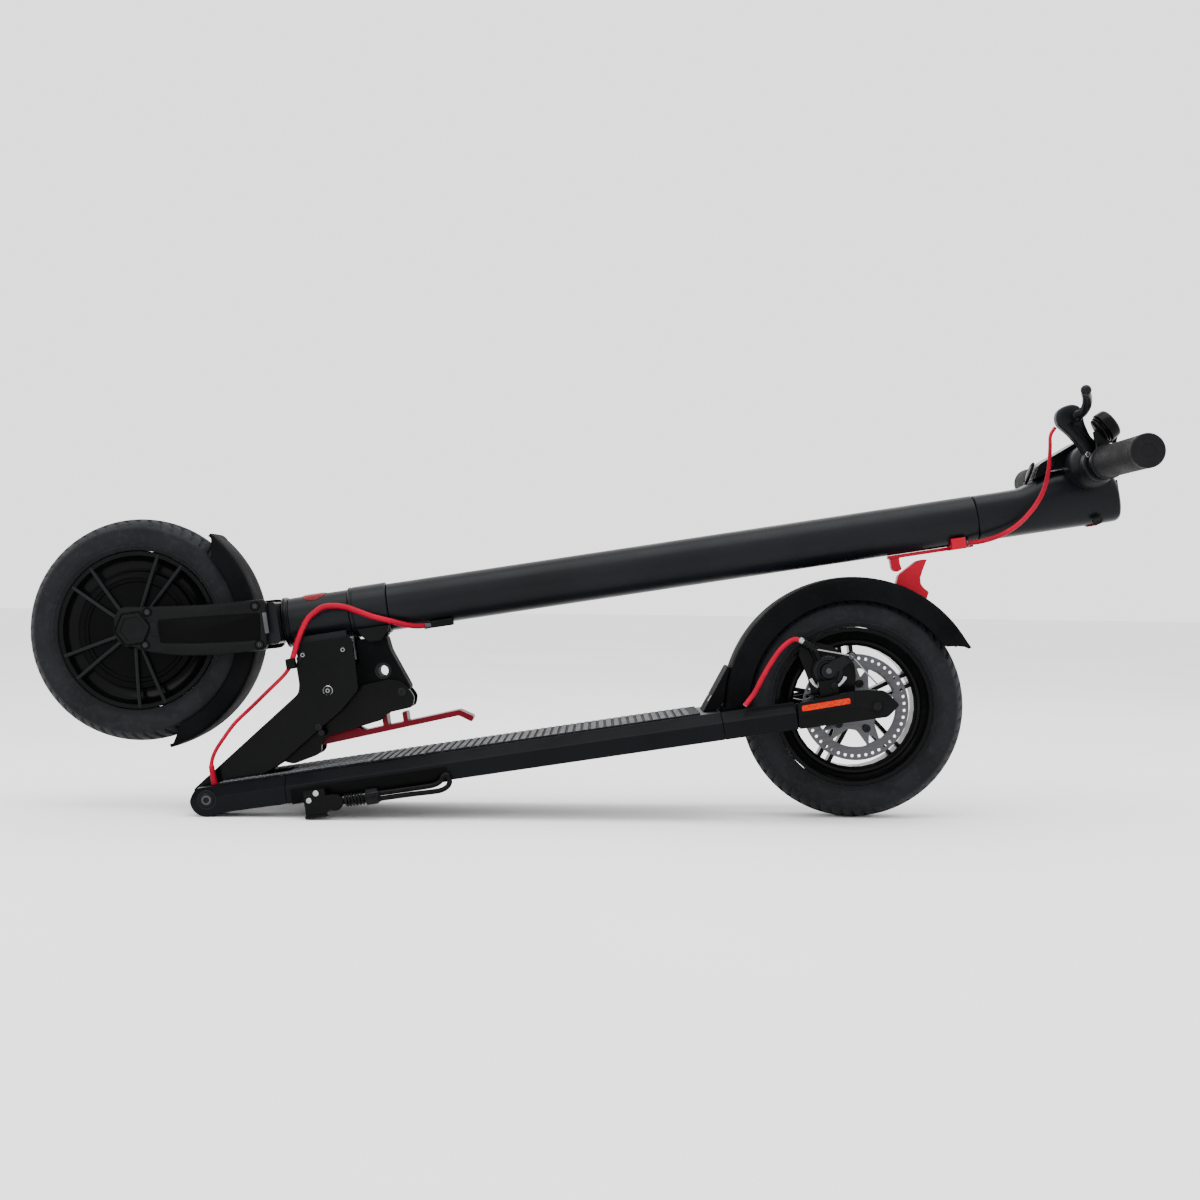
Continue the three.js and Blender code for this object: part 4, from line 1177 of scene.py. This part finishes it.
COVER_OUTLINE = [
    (-4.3, 37.7), (22.1, 33.7), (73.1, 27.9), (133, 24.8), (127, -23.6), (76.4, -21.2),
    (43.4, -16.5), (15.7, -8.9), (-9.7, 1.7), (-15.4, 11.5), (-12.7, 30),
]
COVER_GROOVE = [
    (28.5, 20.2), (60, 18), (95, 15.2), (125.6, 12.4), (122.6, -13.8), (92, -11.2), (60, -7.6),
    (27.5, -2.4),
]
COVER_SCREWS = [
    (19.6, -51.9, 28.8), (13.2, -51.9, -1.8), (121.7, -51.9, 19.2), (120.6, -51.9, -17.6),
]
AXLE_CAP = (4, 15.2)
HEADSET_RINGS = [
    (14.4, 139.7), (24.0, 139.7), (24.7, 140.3), (24.7, 141.4), (23.7, 141.8), (23.7, 142.5),
    (24.4, 142.9), (24.4, 144.2), (23.4, 144.6), (23.4, 145.6), (14.4, 145.6),
]
SLEEVE = [
    (14.4, 204.6), (24.0, 204.6), (24.8, 205.4), (24.8, 207.6), (24.3, 208.0), (24.3, 208.8),
    (24.8, 209.2), (24.8, 240.9), (24.0, 241.7), (14.4, 241.7),
]


def inset(corners, distance):
    """A closed outline moved inwards by a distance, corner by corner."""
    count = len(corners)
    area = sum(
        corners[i - 1][0] * corners[i][1] - corners[i][0] * corners[i - 1][1] for i in range(count)
    )
    way = 1 if area > 0 else -1
    result = []
    for i, corner in enumerate(corners):
        p = Vector(corner)
        a = (p - Vector(corners[i - 1])).normalized()
        b = (Vector(corners[(i + 1) % count]) - p).normalized()
        na, nb = Vector((-a.y, a.x)) * way, Vector((-b.y, b.x)) * way
        bisect = (na + nb).normalized()
        result.append(tuple(p + bisect * (distance / max(0.3, bisect.dot(na)))))
    return result


def fork_covers():
    """Raised frames and inlays on the fork covers, their screws and hexagon rims, and grey bars at
    the crown that paint a highlight.
    """

    def hexagon(radius, reach):
        return eased(ring(radius, *AXLE_CAP, 6), reach, 2)

    outline = eased(inset(COVER_OUTLINE, 0.8), 7)
    covers = both(
        plate([outline, eased(COVER_GROOVE, 3, 3), hexagon(18, 1.5)], -52.1, -50.4, 0.5),
        plate([hexagon(15.9, 1.2), hexagon(12.6, 1.2)], -54.0, -52.9, 0.35),
        box(20.2, 27.6, -52.9, -50.4, 4.6, 18.2, 0.8),
    )
    piece("fork_cover_frames", covers, MATTE, "steering")
    inlay = plate([eased(inset(COVER_GROOVE, 0.8), 2.4, 3)], -51.0, -50.4, 0.2)
    piece("fork_cover_inlays", both(inlay), DEEP, "steering")
    piece("fork_cover_screws", both(screws(COVER_SCREWS, 3.1, 1.0)), DARK_STEEL, "steering")
    cups = both(*[washer(3.5, 4.8, 0.5, at, 36, 4.6) for at in COVER_SCREWS])
    piece("fork_screw_rims", cups, DEEP, "steering", slot="gloss_black")
    # Bright rims round the fork cover screws' sockets: painted glints.
    wear_and_glints = socket_glint_rims([(x, -52.9, z) for x, y, z in COVER_SCREWS], 1.0)
    piece("fork_socket_rims", both(wear_and_glints), GREY_STEEL, "steering")
    # Grey steel bars on the crown cap: a painted highlight.
    slots = both(box(127.4, 131.4, -52.5, -51.8, -8, 12, 0.35))
    piece("crown_highlight_bars", slots, GREY_STEEL, "steering")


def stem_fittings():
    """The headset's rings, the stem's sleeve, and the cable's ferrules and port."""
    rings = along_stem(HEADSET_RINGS)
    piece("headset_rings", rings, DARK_STEEL, "front_frame", "headset_bearing", place=STEM)
    piece("stem_sleeve_turned", along_stem(SLEEVE), SATIN, "steering", "stem_sleeve")
    low = [(274.5, -15.6, -23), (276.5, -14.9, -23.1), (282.5, -12.6, -23.2)]
    ferrules = merged(
        sweep(low, lambda t: 3.5 if t < 0.6 else 3.1, 20),
        sweep([(808.5, -16.4, -22.5), (804, -14.6, -22)], 3.5, 20),
    )
    piece("stem_ferrules", ferrules, GREY_STEEL, "steering")
    port = box(281, 303, -17.5, -5, -26.4, -19, 1.6, 3)
    piece("stem_cable_port", port, GLOSS, "steering")


# ---------- brakes ----------

CALIPER = (597.8, 34.1)
WIRE_CLAMP = (621.6, 45.1)
MOUNT = [
    (580, 12), (578.5, 30), (573, 53), (575, 60.5), (587, 64), (606, 57), (624.5, 38), (625, 28),
    (621, 9),
]


def caliper_details():
    """The caliper's toothed ring, bracket, adjuster barrel, ferrule, bolts and inner wire."""
    x, z = CALIPER
    teeth = [(8.2, 0), (14.9, 0), (14.9, 1.6), (13.8, 2.6), (10.5, 2.9), (9.8, 2.2), (8.2, 2.2)]
    toothed = turned(teeth, 112, (x, -43.9, z), LEFT, notched(28, 0.7, 13))
    steps = [(3.6 if k % 2 else 4.5, 1.9 * k + end) for k in range(7) for end in (0, 1.5)]
    barrel = lathe([(0.01, 0), *steps, (0.01, 13.4)], 32)
    adjuster = turned_to(barrel, (589, -48, 56.2), (-0.77, 0, 0.64))
    piece("caliper_ring", merged(toothed, adjuster), DARK_STEEL, "deck")
    piece("caliper_mount_plate", plate([eased(MOUNT, 3)], -38.4, -35.5, 0.5), GLOSS, "deck")
    turns = [math.radians(196 + 138 * k / 18) for k in range(19)]
    arc = [polar(19.6, a, x, z) for a in turns] + [polar(16.1, a, x, z) for a in reversed(turns)]
    ferrule = lathe([(0.01, 0), (3.2, 0), (3.5, 0.5), (3.5, 4.6), (2.8, 5.2), (0.01, 5.2)], 28)
    ferrule = turned_to(ferrule, (578.6, -48, 64.9), (-0.74, 0, 0.67))
    piece("caliper_bracket", merged(plate([arc], -42.5, -39), ferrule), SILVER, "deck")
    lugs = screws([(590, -57.6, 8), (600, -57.6, 20)], 3.0, 1.8)
    piece("caliper_lug_screws", lugs, DARK_STEEL, "deck")

    clamp_x, clamp_z = WIRE_CLAMP
    bolts = merged(screws([(x, -51, z)], 2.8, 2.0), screws([(clamp_x, -52, clamp_z)], 3.2, 2.4))
    piece("caliper_arm_bolts", bolts, GREY_STEEL, "brake_arm")
    tail = [(clamp_x, -53.2, clamp_z), (627, -53, 37), (634, -52.4, 26), (641.4, -52, 15.7)]
    piece("brake_wire_tail", sweep(spline(tail), 0.75, 10), STEEL, "brake_arm")
    wire = sweep(spline([(589, -48.2, 56.2), (604, -50.6, 51.4), (clamp_x, -53, 45.4)]), 0.75, 10)
    bridge("brake_inner_wire", wire, DECK, STEEL)


# ---------- handlebar ----------

BAR_X, BAR_Z = 931, 33
GRIP_START = 100
GRIP_ROW = 5.2


def on_bar(profile, segments=72, radius_at=None):
    """A closed lathe profile, turned about the handlebar."""
    return shifted(lathe(profile + [profile[0]], segments, radius_at), BAR_X, 0, BAR_Z)


def grip_radius(radius, y, angle):
    """Shallow pads round the grip, in rows that step half a pad."""
    if not 15.0 <= radius <= 15.05:
        return radius
    along = abs(y) - GRIP_START
    phase = (angle / TAU * 20 + 0.5 * (int(along // GRIP_ROW) % 2)) % 1.0
    return radius - (0.2 if phase < 0.16 or along % GRIP_ROW < 0.9 else 0.0)


def grips():
    """Both grips, padded and closed at their outer ends."""
    profile = [(11.4, -94), (15.9, -94), (16.4, -94.6), (16.4, -97.4), (15.6, -98.4), (15.2, -99)]
    profile += [(15.02, -(GRIP_START + 0.65 * k)) for k in range(169)]
    profile += [(15.2, -210.4), (15.2, -215.8), (14.2, -217), (6.5, -217), (6.0, -216.4)]
    profile += [(0.01, -216.4), (0.01, -212.4), (11.4, -212.4)]
    left = on_bar(profile, 160, grip_radius)
    piece("grip_left_padded", left, GRIP, "steering", "grip_left")
    piece("grip_right_padded", mirrored(left), GRIP, "steering", "grip_right")


BELL_CUP = [
    (0.01, 0), (10.4, 0), (11.4, 0.5), (11.4, 1.7), (10.2, 1.9), (10.2, 2.5), (12.2, 2.7),
    (12.4, 3.8), (11.0, 4.0), (11.0, 4.7), (13.3, 4.9), (13.7, 5.6), (13.5, 9), (13.2, 12.6),
    (12.6, 14.4), (11.2, 15.6), (8.6, 16.1), (3.4, 16.3), (3.2, 16.9), (2.2, 17.3), (0.01, 17.4),
]


def bell():
    """The bell: its clamp, post, stepped base discs and rounded cup, with a screw on top."""
    clamp = on_bar([
        (11.4, -91), (13.8, -91), (14.5, -90.3), (14.5, -81.7), (13.8, -81), (11.4, -81),
    ])
    post = box(924, 936, -90, -82, 44, 63, 1.2, 3)
    cup = lathe([(radius * 1.06, y) for radius, y in BELL_CUP], 72)
    shape = merged(clamp, post, turned_to(cup, (929, -85, 62), (0.88, 0, 0.475)))
    piece("bell_stepped", shape, GLOSS, "steering", "bell_body")


PERCH = [
    (895, 80), (897, 87), (903, 91), (912, 92.4), (919, 89.5), (921.5, 83), (921, 74),
    (924.5, 60.8), (932, 46), (929, 38), (918.5, 39.5), (912.5, 53), (904.6, 64.9), (896.5, 73.5),
]
PERCH_STRAPS = (
    ([(904.5, 74), (908.5, 76.5), (929.5, 45.5), (925.8, 43.6)], 0.8),
    ([(911.5, 70), (914.6, 71.6), (930.6, 50.6), (928.6, 48.6)], 0.6),
)
LEVER_PIVOT = (914, -79, 80)
LEVER_PATH = [
    LEVER_PIVOT, (915.5, -90, 81.5), (914.5, -110, 86), (909, -135, 91), (902.5, -156, 94),
    (898.8, -170, 95.2),
]


def brake_perch():
    """The perch, its forms melted into one casting by a fine remesh, with its screw and straps."""
    clamp = lathe([(0.01, -73), (16, -73), (17, -72), (17, -60), (16, -59), (0.01, -59)], 72)
    body = plate([eased(PERCH, 4)], -73.5, -58.5, 3)
    shape = merged(shifted(clamp, BAR_X, 0, BAR_Z), body)
    casting = piece("perch_casting", shape, SATIN, "steering", "brake_perch")
    modifier(casting, "melt", "REMESH", mode="VOXEL", voxel_size=0.8 * MM, use_smooth_shade=True)
    modifier(casting, "soften", "SMOOTH", iterations=10, factor=0.5)
    piece("perch_screws", screws([(919.5, -73, 43)], 2.6, 2.0), SILVER, "steering")
    straps = [plate([eased(outline, reach)], -74.7, -73.2) for outline, reach in PERCH_STRAPS]
    piece("perch_straps", merged(*straps), GLOSS, "steering")


def blade_radius(t):
    """The lever's blade is widest near its root and necks down before the ball."""
    return 4.7 - 0.5 * t - 1.5 * max(0.0, t - 0.8) / 0.2


def brake_lever():
    """The lever's curved blade with its ball end, and the boss that it turns on."""
    blade = sweep(spline(LEVER_PATH, 10), blade_radius, 24, 0.85, (0, 0, 1))
    arc = [(4.8 * math.sin(math.pi * k / 16), -4.8 * math.cos(math.pi * k / 16)) for k in range(17)]
    ball = shifted(lathe(arc, 32), 898.4, -172, 95.4)
    boss = shifted(lathe([(r * 1.08, y * 1.08) for r, y in arc], 36), *LEVER_PIVOT)
    shape = merged(blade, ball, boss)
    piece("brake_lever_blade", shape, SATIN, "brake_lever_body", "brake_lever", "gloss_black")


# Each station of the head casting: its place along the stem, and its lowest and highest point.
HEAD_STATIONS = [
    (820.3, -22.0, 22.0), (821.0, -22.6, 22.6), (845, -22.6, 22.6), (862, -22.6, 22.9),
    (868, -22.6, 23.5), (876, -22.6, 26.2), (884, -22.6, 30.0), (892, -22.6, 32.8),
    (900, -22.6, 34.6), (925, -22.6, 34.8), (944, -22.6, 34.8), (950, -22.6, 32.8),
    (955, -22.4, 27.0), (957.2, -21.6, 22.6), (958.8, -20.2, 20.6), (959.6, -18.0, 18.4),
    (959.8, -14.0, 14.0),
]
HEAD_WIDTH = 22.6
ROUNDNESS = 2 / 2.5


def rounded(value):
    """A cosine or sine bent towards the corners of a square."""
    return math.copysign(abs(value) ** ROUNDNESS, value)


def stem_head():
    """The head casting: rounded sections along the stem, with the handlebar's boss across it."""
    around = 72
    points = []
    for x, low, high in HEAD_STATIONS:
        middle, half = (low + high) / 2, (high - low) / 2
        width = min(HEAD_WIDTH, half)
        for a in circle(around):
            points.append((x, width * rounded(math.cos(a)), middle + half * rounded(math.sin(a))))
    head = (points, skin(len(HEAD_STATIONS), around, caps=True))
    boss = lathe([(0.01, -42), (20.8, -42), (21.4, -41.4), (21.4, 41.4), (20.8, 42), (0.01, 42)])
    shape = merged(head, shifted(boss, BAR_X, 0, BAR_Z))
    piece("stem_head_cast", shape, SATIN, "steering", "stem_head")


def hook_rail():
    """The rail that ties the stem's hook to its clip."""
    piece("hook_rail", box(731, 792, -5.5, 5.5, -26.7, -23.25, 0.5), RED, "steering")


def lamp(profile):
    """A profile turned about the headlight's axis, nearly twice as wide as it is high."""
    flat = moved(lathe(profile, 72), Matrix.Diagonal((1, 1, 1.9, 1)))
    return turned_to(flat, (881.4, 0, 35.2), (-0.9, 0, 0.43))


def head_details():
    """The stem head's boss ends, headlight, display and screws."""
    end = [
        (11.5, -41.5), (21.4, -41.5), (21.3, -43), (19.8, -47.5), (17.6, -53), (15.9, -57),
        (14.6, -58), (11.5, -58),
    ]
    piece("bar_boss_ends", both(on_bar(end)), MATTE, "steering")
    bezel = lamp([(5.0, 0.2), (6.4, 0.2), (6.4, 2.0), (5.8, 2.7), (5.0, 2.3), (5.0, 0.2)])
    piece("lamp_bezel", bezel, GLOSS, "steering")
    lens = lamp([(0.01, 0.4), (4.9, 0.4), (4.9, 1.6), (3.8, 2.7), (2.2, 3.3), (0.01, 3.5)])
    piece("lamp_glass", lens, WHITE_LENS, "steering")
    piece("display_panel", box(960.3, 961.1, -13, 13, -6, 17, 0.3), GLOSS, "steering")
    slant = (0, -1, -1)
    rims = turned([(3.0, 0), (5.4, 0), (5.2, 0.6), (3.0, 0.6)], 36, (934, -19.6, -19.6), slant)
    piece("head_screw_rims", both(rims), GLOSS, "steering")
    heads = both(
        screws([(934, -19.2, -19.2)], 3.0, 0.9, slant),
        screws([(900, -18, 41), (930, -18, 56)], 2.1, 0.9),
    )
    piece("head_screws", heads, DARK_STEEL, "steering")


for build in (
    camera, studio, keep_cad_nodes, tyres, front_hub, rear_hub, disc, cables, stem_tube, fenders,
    tread_mat, deck_details, kick_spring, kick_collar, kick_leg, bracket_details, stop_cheeks,
    badge, fork_covers, stem_fittings, caliper_details, grips, bell, brake_perch, brake_lever,
    stem_head, hook_rail, head_details,
):
    build()
